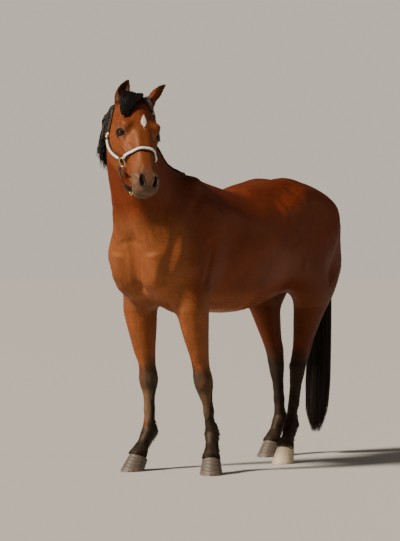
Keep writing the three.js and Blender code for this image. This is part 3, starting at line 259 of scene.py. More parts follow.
def curve_through(stations, steps=6):
    """A smooth line through points."""
    s = [np.asarray(p, float) for p in stations]
    s = [2 * s[0] - s[1]] + s + [2 * s[-1] - s[-2]]
    out = []
    for i in range(1, len(s) - 2):
        a, b, c, d = s[i - 1], s[i], s[i + 1], s[i + 2]
        for k in range(steps):
            t = k / steps
            out.append(0.5 * (2 * b + (c - a) * t + (2 * a - 5 * b + 4 * c - d) * t * t
                              + (3 * b - 3 * c + d - a) * t ** 3))
    out.append(s[-2])
    return np.array(out)


def body_skin():
    piece = raw_skin()
    p = points_of(piece.data)
    h = head_of(p)
    face = (h[:, 1] > 30) & (h[:, 1] < 640) & (abs(h[:, 0]) < 135) & (h[:, 2] > 80 - 330)
    refined(piece, face & (p[:, 2] > 1.34) & (horse_of(p)[:, 0] > 720) | (p[:, 2] > 1.862))
    p = points_of(piece.data)
    fine = np.zeros(len(p), bool)
    for out in SIDES.values():
        fine |= np.linalg.norm(p - eye_frame(out)[0], axis=1) < 0.038
        fine |= np.linalg.norm(p - on_head(out * 36, 528, -38), axis=1) < 0.030
    refined(piece, fine)
    return piece


def smoothed(piece):
    """Takes the frame's facets out: most on the broad masses, least where the form is small."""
    mesh = piece.data
    p, edges = points_of(mesh), edges_of(mesh)
    f = horse_of(p)
    h = head_of(p)
    face = smooth(1.36, 1.42, p[:, 2]) * smooth(620, 700, f[:, 0]) * smooth(-30, 40, h[:, 1])
    ears = smooth(1.90, 1.93, p[:, 2])
    reach = np.interp(f[:, 2], [0, 480, 600, 820, 960], [0.009, 0.010, 0.018, 0.026, 0.042])
    neck = smooth(520, 640, f[:, 0]) * smooth(1150, 1250, f[:, 2])
    reach = reach + (0.026 - reach) * neck
    small = smooth(430, 480, h[:, 1])
    for out in (1, -1):
        small = np.maximum(small, smooth(0.062, 0.045, np.linalg.norm(p - eye_frame(out)[0], axis=1)))
    reach = reach + (0.0145 - 0.0062 * small - reach) * face
    reach = reach + (0.005 - reach) * ears
    p = softened(p, edges, reach)
    # the pocket between the jaw and the throat closes to a soft fold
    degree = np.bincount(edges.ravel(), minlength=len(p))[:, None].astype(float)
    pocket = smooth(62, 26, np.linalg.norm(h - np.array([0, 334, -240]), axis=1))[:, None]
    for _ in range(260):
        p = p + 0.8 * pocket * (neighbour_mean(p, edges, degree) - p)
    move_to(mesh, p)
    depth = 0.0036 - 0.0014 * np.maximum(face, ears)
    move_to(mesh, p - normals_of(mesh) * depth[:, None])


class Clay:
    """The skin's points while they are being modelled, with strokes that raise or press them."""

    def __init__(self, mesh):
        self.mesh = mesh
        self.refresh()

    def refresh(self):
        self.points = points_of(self.mesh)
        self.normals = normals_of(self.mesh)
        self.tree = BVHTree.FromPolygons(
            [tuple(v) for v in self.points], [tuple(f.vertices) for f in self.mesh.polygons])
        self.shift = np.zeros(len(self.points))

    def on_skin(self, stations):
        return np.array([self.tree.find_nearest(Vector(p))[0] for p in stations])

    def stroke(self, stations, reach, height, ends=0.18, lay=True):
        """A ridge, or a groove where height is less than zero, in millimetres."""
        line = curve_through(stations) if len(stations) > 1 else np.array([stations[0]] * 2)
        if lay:
            line = self.on_skin(line)
        near, along = near_line(self.points, line, reach / 1000)
        if len(stations) > 1 and ends:
            near = near * smooth(0, ends, along) * smooth(1, 1 - ends, along)
        self.shift += near * height / 1000

    def bake(self):
        move_to(self.mesh, self.points + self.normals * self.shift[:, None])
        self.refresh()


def both(stations):
    """The stations on each side of the horse."""
    return [[at(f, side * l, u) for f, l, u in stations] for side in (1, -1)]


def both_of_head(stations):
    return [[on_head(out * l, d, o) for l, d, o in stations] for out in (1, -1)]


BODY_STROKES = [
    # reach, height and stations forward, left and up: the hollow round the point of the
    # shoulder, the arm and triceps, the shoulder blade, the neck, the girth and the ribs
    (46, -9, [(655, 198, 1275), (690, 192, 1160), (732, 172, 1040), (715, 150, 955)]),
    (60, 7, [(560, 235, 1190), (560, 240, 1110), (585, 225, 1040)]),
    (34, -8, [(452, 250, 1230), (440, 258, 1150), (465, 262, 1060), (500, 258, 960)]),
    (60, 6, [(505, 250, 1180), (500, 262, 1080), (525, 245, 990)]),
    (44, -2.2, [(560, 215, 1330), (480, 215, 1400), (400, 190, 1480)]),
    (40, 2, [(600, 215, 1260), (520, 235, 1340), (420, 205, 1440)]),
    (38, -4, [(800, 70, 1330), (830, 60, 1430), (850, 40, 1540), (860, 30, 1640)]),
    (50, 5, [(700, 130, 1350), (750, 120, 1480), (780, 110, 1600)]),
    (40, -4, [(330, 262, 1180), (300, 268, 1050), (290, 240, 930)]),
    (22, -0.8, [(250, 262, 1290), (215, 290, 1160), (215, 288, 1040)]),
    (22, -0.8, [(185, 268, 1300), (145, 296, 1160), (140, 296, 1030)]),
    (22, -0.9, [(115, 272, 1300), (75, 299, 1160), (65, 300, 1020)]),
    (22, -0.9, [(45, 272, 1290), (5, 298, 1160), (-10, 300, 1020)]),
    (22, -0.8, [(-25, 265, 1290), (-65, 293, 1160), (-85, 292, 1030)]),
    (80, -6, [(-190, 262, 1330), (-230, 272, 1240), (-270, 270, 1160)]),
    # the flank fold, the front of the thigh, the hip, the croup and the hamstrings
    (34, 5, [(-205, 175, 1450), (-222, 240, 1350), (-262, 274, 1250), (-330, 280, 1175),
             (-374, 274, 1087), (-385, 259, 1000)]),
    (48, -5, [(-270, 235, 1400), (-330, 272, 1280), (-400, 282, 1180)]),
    (52, 3, [(-405, 215, 1475), (-408, 268, 1375), (-425, 282, 1285), (-450, 285, 1180)]),
    (50, -4, [(-700, 235, 1330), (-690, 245, 1200), (-640, 225, 1050), (-600, 190, 930)]),
    (40, -3, [(-560, 250, 1300), (-585, 262, 1180), (-580, 240, 1050)]),
    (60, -6, [(-300, 215, 1490), (-420, 190, 1520), (-560, 170, 1500)]),
    (14, 2.2, [(260, 215, 890), (120, 232, 860), (-20, 235, 850), (-150, 215, 860)]),
]

CENTRE_STROKES = [
    (46, -17, [(815, 20, 1270), (802, 22, 1170), (780, 22, 1080), (735, 14, 980), (690, 0, 900)]),
    (26, -3, [(770, -70, 1190), (795, 0, 1195), (770, 100, 1190)]),
    (58, 8, [(770, -85, 1150), (752, -95, 1070), (715, -100, 1000)]),
    (58, 8, [(770, 125, 1150), (752, 135, 1070), (715, 140, 1000)]),
    (50, -6, [(700, -95, 985), (716, 0, 960), (700, 110, 985)]),
    (36, -7, [(-330, 0, 1560), (-500, 0, 1560), (-660, 0, 1520), (-780, 0, 1460)]),
    (26, -4, [(300, 0, 1580), (100, 0, 1500), (-120, 0, 1490)]),
]

HEAD_STROKES = [
    # the facial crest, the nasal bone, the cheek and the hollow above the eye
    (13, 4.5, [(92, 232, -92), (90, 268, -92), (84, 310, -88), (76, 352, -78)]),
    (16, -2.5, [(78, 262, -60), (66, 310, -46), (58, 360, -42)]),
    (22, -4, [(92, 330, -128), (82, 352, -160), (66, 356, -190)]),
    (20, 2.5, [(100, 250, -150), (98, 290, -150)]),
    (26, -2.0, [(64, 150, -22), (72, 172, -30)]),
    (14, 1.0, [(46, 168, -4), (66, 184, -10), (86, 196, -22)]),
    (14, -2, [(30, 430, -14), (42, 468, -22), (50, 492, -34)]),
    (18, 3, [(56, 470, -60), (60, 505, -70), (56, 540, -80)]),
    # veins of the face
    (4.5, 1.0, [(88, 372, -120), (84, 336, -100), (76, 296, -72), (74, 262, -50), (80, 236, -40)]),
    (4, 0.8, [(76, 296, -72), (62, 320, -44), (54, 356, -30), (48, 400, -26)]),
    (4, 0.8, [(104, 300, -140), (106, 262, -128), (104, 236, -112)]),
    (4, 0.7, [(62, 440, -70), (66, 408, -92), (74, 384, -112)]),
    # the corner of the mouth, the chin and the bars of the jaw
    (10, -2.2, [(66, 470, -100), (70, 462, -118), (62, 470, -138)]),
    (16, -4, [(40, 462, -150), (0, 458, -158)]),
    (20, 3, [(30, 508, -168), (0, 514, -172)]),
]


def mouth_line(side):
    return [on_head(side * x, y, z) for x, y, z in
            [(0, 572, -113), (26, 567, -115), (46, 550, -118), (60, 522, -120), (67, 492, -120), (69, 474, -121)]]


def legs_of(clay):
    """Tendons, veins and small bones of the lower legs."""
    stance = {"front_left": (432, 190, 366, 196, 36), "front_right": (421, -180, 423, -175, -2),
              "hind_left": (-470, 150, -405, 150, 16), "hind_right": (-672, -140, -706, -140, 6)}
    for name, (mf, ml, ff, fl, toe) in stance.items():
        top = 482 if "front" in name else 520
        t = math.radians(toe)
        ahead, aside = np.array([math.cos(t), math.sin(t)]), np.array([-math.sin(t), math.cos(t)])

        def on_leg(up, forward, left):
            k = (top - up) / (top - 206)
            base = np.array([mf, ml]) * (1 - k) + np.array([ff, fl]) * k
            f, l = base + ahead * forward + aside * left
            return at(f, l, up)

        for s in (1, -1):
            back = -8 if "front" in name else -12
            clay.stroke([on_leg(u, back, s * 40) for u in (top - 90, 330, 260)], 11, -3.6)
            clay.stroke([on_leg(u, back - 17, s * 34) for u in (top - 100, 330, 250)], 9, 2.0)
            clay.stroke([on_leg(u, back + 14, s * 40) for u in (top - 60, top - 110)], 10, 2.0)
            clay.stroke([on_leg(206, -6, s * 60), on_leg(190, -14, s * 60)], 16, 2.6)
            clay.stroke([on_leg(150, 50, s * 60), on_leg(158, 10, s * 60)], 12, -2.0)
            if "hind" in name:
                clay.stroke([on_leg(u, f, s * 60) for u, f in ((700, -40), (640, -30), (585, -28))], 22, -7)
                clay.stroke([on_leg(540, 20, s * 60), on_leg(500, 10, s * 60)], 20, 3)
            else:
                clay.stroke([on_leg(u, 18, s * 50) for u in (520, 492)], 14, 2.5)
                clay.stroke([on_leg(u, -4, s * 55) for u in (500, 470, 440)], 10, -2.2)
                clay.stroke([on_leg(u, f, s * 90) for u, f in ((760, 0), (640, 14), (545, 16))], 16, -3)
        clay.stroke([on_leg(186, -60, 0), on_leg(180, -60, 0)], 12, 4)
        clay.stroke([on_leg(150, -50, -20), on_leg(150, -50, 20)], 12, -2.5)


def nostrils(clay):
    """Each nostril is a comma: narrow above, round below, with a firm inner rim."""
    for out in (1, -1):
        path = [on_head(out * x, y, z) for x, y, z in
                [(36, 506, -27), (40, 516, -31), (39, 527, -36), (34, 536, -41), (29, 540, -45)]]
        line = clay.on_skin(curve_through(path, 10))
        away, along = distance_to(clay.points, line, 0.030)
        away = away * 1000 / np.interp(along, [0, 0.4, 0.8, 1], [0.55, 0.9, 1.0, 0.8])
        hole = smooth(9.5, 3.2, away)
        inward = unit(np.array([-out * 0.22, -0.5, -0.85])) @ HEAD_AXES
        clay.points = clay.points + hole[:, None] * inward * 0.019
        clay.shift += np.exp(-((away - 13.0) / 3.8) ** 2) * 0.0026
    move_to(clay.mesh, clay.points + clay.normals * clay.shift[:, None])
    clay.refresh()


def eye_opening(x):
    """The lower and upper edge of the lids, in millimetres over the eyeball."""
    across = np.clip(x / EYE_HALF, -1, 1)
    base = -2.2 + across * 2.2
    return base - 11.0 * (1 - across ** 2), base + 14.6 * (1 - abs(across) ** 2.4)


def eyelids(clay):
    for out in (1, -1):
        centre, gaze, back, up = eye_frame(out)
        r = (clay.points - centre) * 1000
        size = np.linalg.norm(r, axis=1)
        q = r / np.maximum(size, 1e-6)[:, None]
        front = q @ gaze
        chosen = (size < 60) & (front > 0.05)
        x = EYE["radius"] * np.arctan2(q @ back, front)
        y = EYE["radius"] * np.arctan2(q @ up, front)
        low, high = eye_opening(x)
        s = np.maximum(y - high, low - y)
        beyond = abs(x) > EYE_HALF
        s = np.where(beyond, np.hypot(abs(x) - EYE_HALF, np.maximum(abs(y - (low + high) / 2) - 0.2, 0)), s)
        ball = EYE["radius"]
        lid = ball + 3.4 + 0.9 * np.exp(-((s - 2.2) / 2.0) ** 2)
        above = smooth(-6, 6, y)
        fold = -1.7 * np.exp(-((s - 8.0) / 1.9) ** 2) * above + 1.3 * np.exp(-((s - 11.5) / 2.6) ** 2) * above
        fold += -1.0 * np.exp(-((s - 6.5) / 1.8) ** 2) * (1 - above)
        fold += -0.9 * np.exp(-((s - 15.0) / 1.6) ** 2) * above
        outer = size + (lid - size) * smooth(17, 4, s) + fold
        target = np.where(s < 0.9, ball - 4.5 + (outer - ball + 4.5) * smooth(-1.6, 0.9, s), outer)
        target = np.where(chosen, size + (target - size) * smooth(0.05, 0.3, front), size)
        clay.points = clay.points + q * ((target - size) * chosen)[:, None] / 1000
    move_to(clay.mesh, clay.points)
    clay.refresh()


def modelled(piece):
    clay = Clay(piece.data)
    for reach, height, stations in BODY_STROKES:
        for side in both(stations):
            clay.stroke(side, reach, height)
    for reach, height, stations in CENTRE_STROKES:
        clay.stroke([at(*s) for s in stations], reach, height)
    for reach, height, stations in HEAD_STROKES:
        for side in both_of_head(stations):
            clay.stroke(side, reach, height)
    legs_of(clay)
    clay.bake()
    for out in (1, -1):
        lips = mouth_line(out)
        depth = HEAD_FACE * 0.011
        clay.stroke([p + depth for p in lips], 11, 2.2, ends=0)
        clay.stroke([p - depth for p in lips], 11, 2.0, ends=0)
        clay.stroke(lips, 5.2, -5.5, ends=0)
    clay.bake()
    nostrils(clay)
    eyelids(clay)


skin = body_skin()
smoothed(skin)
modelled(skin)
print("skin", len(skin.data.vertices), len(skin.data.polygons))


def eyeball(side):
    """A wet eye: a ball with a clear, slightly swollen front."""
    centre, gaze, back, up = eye_frame(SIDES[side])
    bm = bmesh.new()
    bmesh.ops.create_uvsphere(bm, u_segments=64, v_segments=40, radius=1)
    mesh = bpy.data.meshes.new("eye_" + side + "_ball")
    bm.to_mesh(mesh)
    bm.free()
    q = points_of(mesh)
    swell = 1 + 0.045 * smooth(0.72, 1.0, q[:, 2])
    p = centre + (q @ np.array([back, up, gaze])) * (swell * (EYE["radius"] - 0.6) / 1000)[:, None]
    if np.dot(np.cross(back, up), gaze) < 0:
        mesh.flip_normals()
    move_to(mesh, p)
    look = mesh.attributes.new("look", "FLOAT_VECTOR", "POINT")
    look.data.foreach_set("vector", q.astype(np.float32).ravel())
    piece = bpy.data.objects.new(mesh.name, mesh)
    bpy.context.collection.objects.link(piece)
    mesh.polygons.foreach_set("use_smooth", [True] * len(mesh.polygons))
    mesh.materials.append(eye_material())
    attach(piece, "root")
    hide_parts("eye_" + side)
    return piece


# ------------------------------------------------------------------ regions, lie and markings

LEG_LINES = {"front_left": (400, 193), "front_right": (422, -178),
             "hind_left": (-450, 150), "hind_right": (-680, -140)}
NECK_AXIS = unit(np.array([0.46, 0.10, 0.88]))  # forward, left, up
# Each region is unwrapped round its own line: a point on the line, the line's direction, the
# direction that faces away from the seam, and a usual radius, all forward, left and up.
REGIONS = {
    "trunk": ((0, 0, 1190), (-1, 0, 0), (0, 0, 1), 280),
    "neck": ((640, 0, 1500), tuple(-NECK_AXIS), (0.88, 0.0, -0.46), 150),
    "head": None,
    "ear_left": None,
    "ear_right": None,
    **{"leg_" + n: ((f, l, 0), (0, 0, -1), (1, 0, 0), 60) for n, (f, l) in LEG_LINES.items()},
}
REGION_NAMES = list(REGIONS)


def region_of(points):
    f, h = horse_of(points), head_of(points)
    region = np.zeros(len(points), int)
    neck = ((f[:, 0] - 590) * 0.74 + (f[:, 2] - 1400) * 0.67 > 0) & (f[:, 2] > 1100)
    region[neck] = 1
    head = (h[:, 1] + 0.55 * (h[:, 2] + 120) > 20) & (f[:, 0] > 640) & (f[:, 2] > 1340) & (h[:, 2] > -250)
    region[head] = 2
    region[(f[:, 2] > 1885) & (h[:, 0] > 0)] = 3
    region[(f[:, 2] > 1885) & (h[:, 0] <= 0)] = 4
    low = f[:, 2] < 840
    hind = f[:, 0] < 0
    region[low & ~hind & (f[:, 1] > 0)] = 5
    region[low & ~hind & (f[:, 1] <= 0)] = 6
    region[low & hind & (f[:, 1] > 0)] = 7
    region[low & hind & (f[:, 1] <= 0)] = 8
    return region


def unwrapped(points, region):
    """How far round its region's line each point lies, as an angle, the region's radius, and how
    far along it lies, in metres."""
    f, h = horse_of(points), head_of(points)
    angle, radius, along = np.zeros(len(points)), np.full(len(points), 0.1), np.zeros(len(points))
    for k, name in enumerate(REGION_NAMES):
        m = region == k
        if not m.any():
            continue
        if name == "head":
            angle[m], radius[m], along[m] = np.arctan2(h[m, 0], h[m, 2] + 110), 0.09, h[m, 1] / 1000
        elif name.startswith("ear"):
            x = h[m, 0] - (62 if name == "ear_left" else -62)
            angle[m], radius[m], along[m] = np.arctan2(x, h[m, 2] + 70), 0.03, f[m, 2] / 1000
        else:
            start, line, zero, r = REGIONS[name]
            line, zero = unit(np.array(line, float)), np.array(zero, float)
            zero = unit(zero - line * np.dot(zero, line))
            q = f[m] - np.array(start, float)
            angle[m] = np.arctan2(q @ np.cross(line, zero), q @ zero)
            radius[m], along[m] = r / 1000, q @ line / 1000
    return angle, radius, along


# Where each region lies on the one chart of the whole skin: corner, and the span of a turn
# round it and of its length.
CHART = {"trunk": (0.01, 0.01, 0.60, 0.60, -0.95, 1.9), "neck": (0.63, 0.01, 0.34, 0.40, -0.6, 1.1),
         "head": (0.63, 0.43, 0.34, 0.30, -0.1, 0.75), "ear_left": (0.63, 0.75, 0.15, 0.1, 1.85, 0.2),
         "ear_right": (0.81, 0.75, 0.15, 0.1, 1.85, 0.2),
         "leg_front_left": (0.01, 0.63, 0.14, 0.34, -0.9, 0.9),
         "leg_front_right": (0.17, 0.63, 0.14, 0.34, -0.9, 0.9),
         "leg_hind_left": (0.33, 0.63, 0.14, 0.34, -0.9, 0.9),
         "leg_hind_right": (0.49, 0.63, 0.12, 0.34, -0.9, 0.9)}


def on_chart(points):
    """Where points lie on the chart of the skin, 0 to 1 each way."""
    region = region_of(points)
    angle, _, along = unwrapped(points, region)
    table = np.array([CHART[n] for n in REGION_NAMES])[region]
    u = table[:, 0] + table[:, 2] * (angle / (2 * math.pi) + 0.5)
    v = table[:, 1] + table[:, 3] * np.clip((along - table[:, 4]) / table[:, 5], 0, 1)
    return np.stack([u, v], 1)


def lie_of(points, normals):
    """The way the coat lies: down the face, neck and legs, back along the barrel."""
    f, h = horse_of(points), head_of(points)
    region = region_of(points)

    def way(forward, left, up):
        return np.array([left, -forward, up], float)

    side = np.sign(f[:, 1])[:, None]
    lie = np.tile(way(-1, 0, -0.55), (len(points), 1))
    lie += smooth(300, 620, f[:, 0])[:, None] * way(0.55, 0, -0.9)
    lie += smooth(-250, -700, f[:, 0])[:, None] * way(0.2, 0, -0.9)
    lie += smooth(1000, 850, f[:, 2])[:, None] * way(-0.6, 0, 0.2)
    lie[region == 1] = way(-0.75, 0, -0.75)
    lie[region == 2] = HEAD_DOWN
    cheek = (region == 2) & (h[:, 2] < -80)
    lie[cheek] = HEAD_DOWN * 0.7 - HEAD_FACE * 0.6
    ear = (region == 3) | (region == 4)
    lie[ear] = way(0.05, 0, 1)
    lie[region >= 5] = way(-0.12, 0, -1)
    lie = lie + side * way(0, 0.06, 0)
    return unit(lie - normals * np.sum(lie * normals, axis=1, keepdims=True))


def blended(a, b, k):
    return a + (np.asarray(b) - a) * np.clip(k, 0, 1)[:, None]


BAY = np.array([0.136, 0.0230, 0.0058])
LIGHT_BAY = np.array([0.265, 0.084, 0.0260])
DARK_BAY = np.array([0.070, 0.0120, 0.0040])
BLACK = np.array([0.0070, 0.0054, 0.0048])
SOOT = np.array([0.030, 0.020, 0.015])
MEALY = np.array([0.135, 0.080, 0.050])
BARE = np.array([0.022, 0.016, 0.014])
PINK_GREY = np.array([0.145, 0.084, 0.062])


def waver(points, size, seed=0):
    """A slow, smooth wander from place to place, about -1 to 1, for spots of that size in metres."""
    rng = np.random.default_rng(seed)
    total = np.zeros(len(points))
    for _ in range(6):
        k = unit(rng.normal(size=3)) * rng.uniform(0.7, 1.5) * 2 * math.pi / size
        total += np.sin(points @ k + rng.uniform(0, 6.28))
    return total / 3.0


def star_measure(points):
    """How far inside the star on the forehead a point lies, in millimetres."""
    h = head_of(points)
    half = np.interp(h[:, 1], [112, 124, 145, 166, 182, 196, 203, 222, 228], [-6, 1, 9, 15.5, 14.5, 7, 2.6, 1.2, -5])
    middle = np.interp(h[:, 1], [120, 160, 200, 225], [11, 6, 3, 1])
    return np.where(h[:, 2] > -40, half - abs(h[:, 0] - middle), -40)


def coat_colour(points):
    """The bay coat with its black points, mealy muzzle and lighter flanks; painted light on the chest, darker haunches
    that are partly coat and partly painted shade, and painted shade on the right ear.
    """
    f, h = horse_of(points), head_of(points)
    region = region_of(points)
    head = (region == 2).astype(float)
    c = np.tile(BAY, (len(points), 1))
    top = smooth(1330, 1500, f[:, 2]) * (region == 0)
    c = blended(c, DARK_BAY * 1.25, 0.35 * top)
    # painted light: the chest is lightened towards a sunlit, glossy sheen
    painted_breast_light = smooth(520, 680, f[:, 0]) * smooth(1380, 1250, f[:, 2])
    c = blended(c, LIGHT_BAY, 0.80 * painted_breast_light * (region < 2))
    upper_arm = smooth(1000, 820, f[:, 2]) * (f[:, 0] > 0)
    c = blended(c, LIGHT_BAY * 1.05, 0.65 * upper_arm)
    belly = smooth(960, 850, f[:, 2]) * (region == 0)
    c = blended(c, LIGHT_BAY, 0.45 * belly)
    flank = np.exp(-((f[:, 0] + 260) / 130) ** 2) * np.exp(-((f[:, 2] - 1000) / 110) ** 2)
    c = blended(c, LIGHT_BAY, 0.2 * flank * (region == 0))
    # the haunches darker: partly the bay's own darker coat, partly painted shade
    dark_quarter_and_shade = smooth(-180, -330, f[:, 0]) * smooth(1420, 1250, f[:, 2])
    c = blended(c, DARK_BAY, 0.5 * dark_quarter_and_shade)
    c = blended(c, LIGHT_BAY, 0.45 * head)
    forehead = head * smooth(190, 90, h[:, 1]) * smooth(-80, -20, h[:, 2])
    c = blended(c, BAY * 0.8, 0.6 * forehead)
    c = c * (1 + 0.10 * waver(points, 0.30, 1) + 0.06 * waver(points, 0.09, 2))[:, None]
    # black points: from the knees and hocks down, with browner fronts to the fore cannons
    fore = (region == 5) | (region == 6)
    hind = region >= 7
    edge = waver(points, 0.06, 3) * 16
    black = np.where(fore, smooth(596, 492, f[:, 2] + edge), 0)
    black = np.where(hind, smooth(640, 520, f[:, 2] + edge), black)
    for k, name in enumerate(LEG_LINES):
        rear = f[:, 0] < LEG_LINES[name][0] - 30
        inside = np.abs(f[:, 1]) < abs(LEG_LINES[name][1]) - 14
        mine = region == 5 + k
        if name.startswith("front"):
            front_face = mine & (f[:, 0] > LEG_LINES[name][0] + 8) & (f[:, 2] > 220)
            brown = 0.70 if name == "front_right" else 0.86
            black = np.where(front_face, black * (brown + 0.10 * waver(points, 0.05, 4)), black)
        black = np.where(mine & (rear | inside), np.maximum(black, smooth(640, 500, f[:, 2])), black)
    knee = fore * np.exp(-((f[:, 2] - 478) / 46) ** 2)
    points_black = blended(np.tile(BLACK, (len(points), 1)), SOOT, 0.55 + 0.4 * waver(points, 0.05, 5))
    points_black = blended(points_black, np.array([0.070, 0.049, 0.034]), 0.75 * knee)
    c = blended(c, points_black, black)
    shin = smooth(230, 290, f[:, 2]) * smooth(450, 390, f[:, 2]) * (f[:, 0] > np.where(region == 5, 408, 430))
    c = blended(c, np.array([0.20, 0.130, 0.078]), shin * (0.30 * (region == 5) + 0.55 * (region == 6)))
    coronet = smooth(105, 88, f[:, 2]) * (region == 7)
    c = blended(c, np.array([0.36, 0.25, 0.19]), coronet)
    # the muzzle, the lids and the ears, with painted shade on the right ear
    mealy = head * smooth(400, 520, h[:, 1] + waver(points, 0.05, 6) * 8)
    c = blended(c, MEALY, 0.85 * mealy)
    c = blended(c, PINK_GREY * 0.75, 0.5 * head * smooth(520, 560, h[:, 1]))
    lips = np.minimum(*[distance_to(points, curve_through(mouth_line(s)), 0.03)[0] for s in (1, -1)])
    c = blended(c, BARE * 2.2, 0.75 * head * smooth(0.016, 0.004, lips))
    for out in (1, -1):
        nostril = distance_to(points, [on_head(out * 37, 508, -32), on_head(out * 33, 540, -48)], 0.05)[0]
        c = blended(c, BARE * 2.4, 0.7 * head * smooth(0.0215, 0.0145, nostril))
        c = blended(c, BARE * 0.6, head * smooth(0.0135, 0.0095, nostril))
        centre, gaze, back, up = eye_frame(out)
        r = (points - centre) * 1000
        away = np.hypot(r @ back / 1.25, r @ up)
        near_eye = (r @ gaze > 0) & (np.linalg.norm(r, axis=1) < 60)
        c = blended(c, PINK_GREY * 1.25, 0.75 * near_eye * smooth(33, 23, away))
        c = blended(c, BARE * 0.6, near_eye * smooth(25.0, 20.0, away))
    ears = smooth(1885, 1900, f[:, 2])
    c = blended(c, BAY * 0.9, ears)
    c = blended(c, BLACK * 1.6, ears * smooth(1955, 1990, f[:, 2]) * 0.8)
    # painted shade: the right ear darker than the left
    c = blended(c, DARK_BAY * 0.6, ears * (h[:, 0] < 0) * 0.6)
    return np.clip(c, 0.002, 1)


# ------------------------------------------------------------------ finishes

class Nodes:
    """A short way to write a material's or a group's nodes."""

    def __init__(self, tree):
        self.tree = tree

    def add(self, kind, values=None, **settings):
        node = self.tree.nodes.new(kind)
        for key, value in settings.items():
            setattr(node, key, value)
        for key, value in (values or {}).items():
            socket = node.inputs[key]
            if isinstance(value, bpy.types.NodeSocket):
                self.tree.links.new(value, socket)
            else:
                socket.default_value = value
        return node

    def math(self, operation, a, b=0.0, c=None, clamp=False):
        values = {0: a, 1: b} if c is None else {0: a, 1: b, 2: c}
        return self.add("ShaderNodeMath", values, operation=operation, use_clamp=clamp).outputs[0]

    def mix(self, a, b, k, blend="MIX"):
        node = self.add("ShaderNodeMix", {0: k}, data_type="RGBA", blend_type=blend)
        for socket, value in ((node.inputs[6], a), (node.inputs[7], b)):
            if isinstance(value, bpy.types.NodeSocket):
                self.tree.links.new(value, socket)
            else:
                socket.default_value = (*value, 1)
        return node.outputs[2]

    def span(self, x, low, high, out_low=0.0, out_high=1.0):
        values = {0: x, 1: low, 2: high, 3: out_low, 4: out_high}
        return self.add("ShaderNodeMapRange", values, interpolation_type="SMOOTHSTEP").outputs[0]

    def noise(self, where, scale, detail=3.0, rough=0.5):
        return self.add("ShaderNodeTexNoise", {"Vector": where, "Scale": scale, "Detail": detail,
                                               "Roughness": rough}).outputs["Fac"]


def material_for(name, **constants):
    """A new material: its nodes, and its Principled shader with constants set on it."""
    material = bpy.data.materials.new(name)
    material.use_nodes = True
    shader = material.node_tree.nodes["Principled BSDF"]
    for key, value in constants.items():
        shader.inputs[key.replace("_", " ")].default_value = value
    return material, Nodes(material.node_tree), shader


def group_for(name, inputs, outputs):
    tree = bpy.data.node_groups.new(name, "ShaderNodeTree")
    kinds = {"value": "NodeSocketFloat", "colour": "NodeSocketColor", "vector": "NodeSocketVector"}
    for label, kind, default in inputs:
        socket = tree.interface.new_socket(label, in_out="INPUT", socket_type=kinds[kind])
        if default is not None:
            socket.default_value = default
    for label, kind in outputs:
        tree.interface.new_socket(label, in_out="OUTPUT", socket_type=kinds[kind])
    nodes = Nodes(tree)
    return tree, nodes, nodes.add("NodeGroupInput").outputs, nodes.add("NodeGroupOutput").inputs


def hair_grain_group():
    """Fine hairs lying one way: where gives metres across and along the lie."""
    tree, n, given, made = group_for(
        "hair_grain", [("Where", "vector", None), ("Across", "value", 900.0), ("Along", "value", 90.0)],
        [("Height", "value"), ("Shade", "value"), ("Clump", "value")])
    apart = n.add("ShaderNodeSeparateXYZ", {0: given["Where"]})
    x, y = apart.outputs[0], apart.outputs[1]
    fine = n.add("ShaderNodeCombineXYZ", {0: n.math("MULTIPLY", x, given["Across"]),
                                          1: n.math("MULTIPLY", y, given["Along"])}).outputs[0]
    hairs = n.noise(fine, 1.0, 2.0, 0.6)
    wide = n.add("ShaderNodeCombineXYZ", {0: n.math("MULTIPLY", x, 110.0), 1: n.math("MULTIPLY", y, 26.0)}).outputs[0]
    clump = n.noise(wide, 1.0, 3.0, 0.55)
    height = n.math("ADD", hairs, n.math("MULTIPLY", clump, 0.8))
    shade = n.span(n.math("ADD", n.math("MULTIPLY", hairs, 0.6), n.math("MULTIPLY", clump, 0.4)), 0.25, 0.75)
    n.tree.links.new(height, made["Height"])
    n.tree.links.new(shade, made["Shade"])
    n.tree.links.new(clump, made["Clump"])
    return tree


HAIR_GRAIN = hair_grain_group()
WARM_GLOSS = (1.0, 0.70, 0.46, 1)


def skin_material():
    material, n, shader = material_for("bay_skin", Specular_IOR_Level=0.30, Specular_Tint=WARM_GLOSS)
    colour = n.add("ShaderNodeAttribute", attribute_name="bay").outputs["Color"]
    marks = n.add("ShaderNodeSeparateXYZ", {0: n.add("ShaderNodeAttribute", attribute_name="marks").outputs["Vector"]})
    star, bare, dark = marks.outputs[0], marks.outputs[1], marks.outputs[2]
    where = n.add("ShaderNodeUVMap", uv_map="lie").outputs[0]
    grain = n.add("ShaderNodeGroup", {"Where": where}, node_tree=HAIR_GRAIN)
    place = n.add("ShaderNodeTexCoord").outputs["Object"]
    shade = n.span(grain.outputs["Shade"], 0.0, 1.0, 0.62, 1.28)
    shaded = n.mix(colour, n.add("ShaderNodeCombineColor", {0: shade, 1: shade, 2: shade}).outputs[0], 1.0, "MULTIPLY")
    ragged = n.math("ADD", star, n.math("MULTIPLY", n.math("SUBTRACT", n.noise(place, 240.0), 0.5), 9.0))
    colour = n.mix(shaded, (0.88, 0.82, 0.75), n.span(ragged, -1.2, 1.8))
    pores = n.noise(place, 620.0, 2.0)
    height = n.mix(grain.outputs["Height"], pores, bare)
    bump = n.add("ShaderNodeBump", {"Height": height, "Strength": 0.30, "Distance": 0.0010})
    rough = n.math("ADD", n.span(grain.outputs["Clump"], 0.3, 0.7, 0.45, 0.57), n.math("MULTIPLY", dark, 0.06))
    n.tree.links.new(colour, shader.inputs["Base Color"])
    n.tree.links.new(rough, shader.inputs["Roughness"])
    n.tree.links.new(bump.outputs[0], shader.inputs["Normal"])
    return material


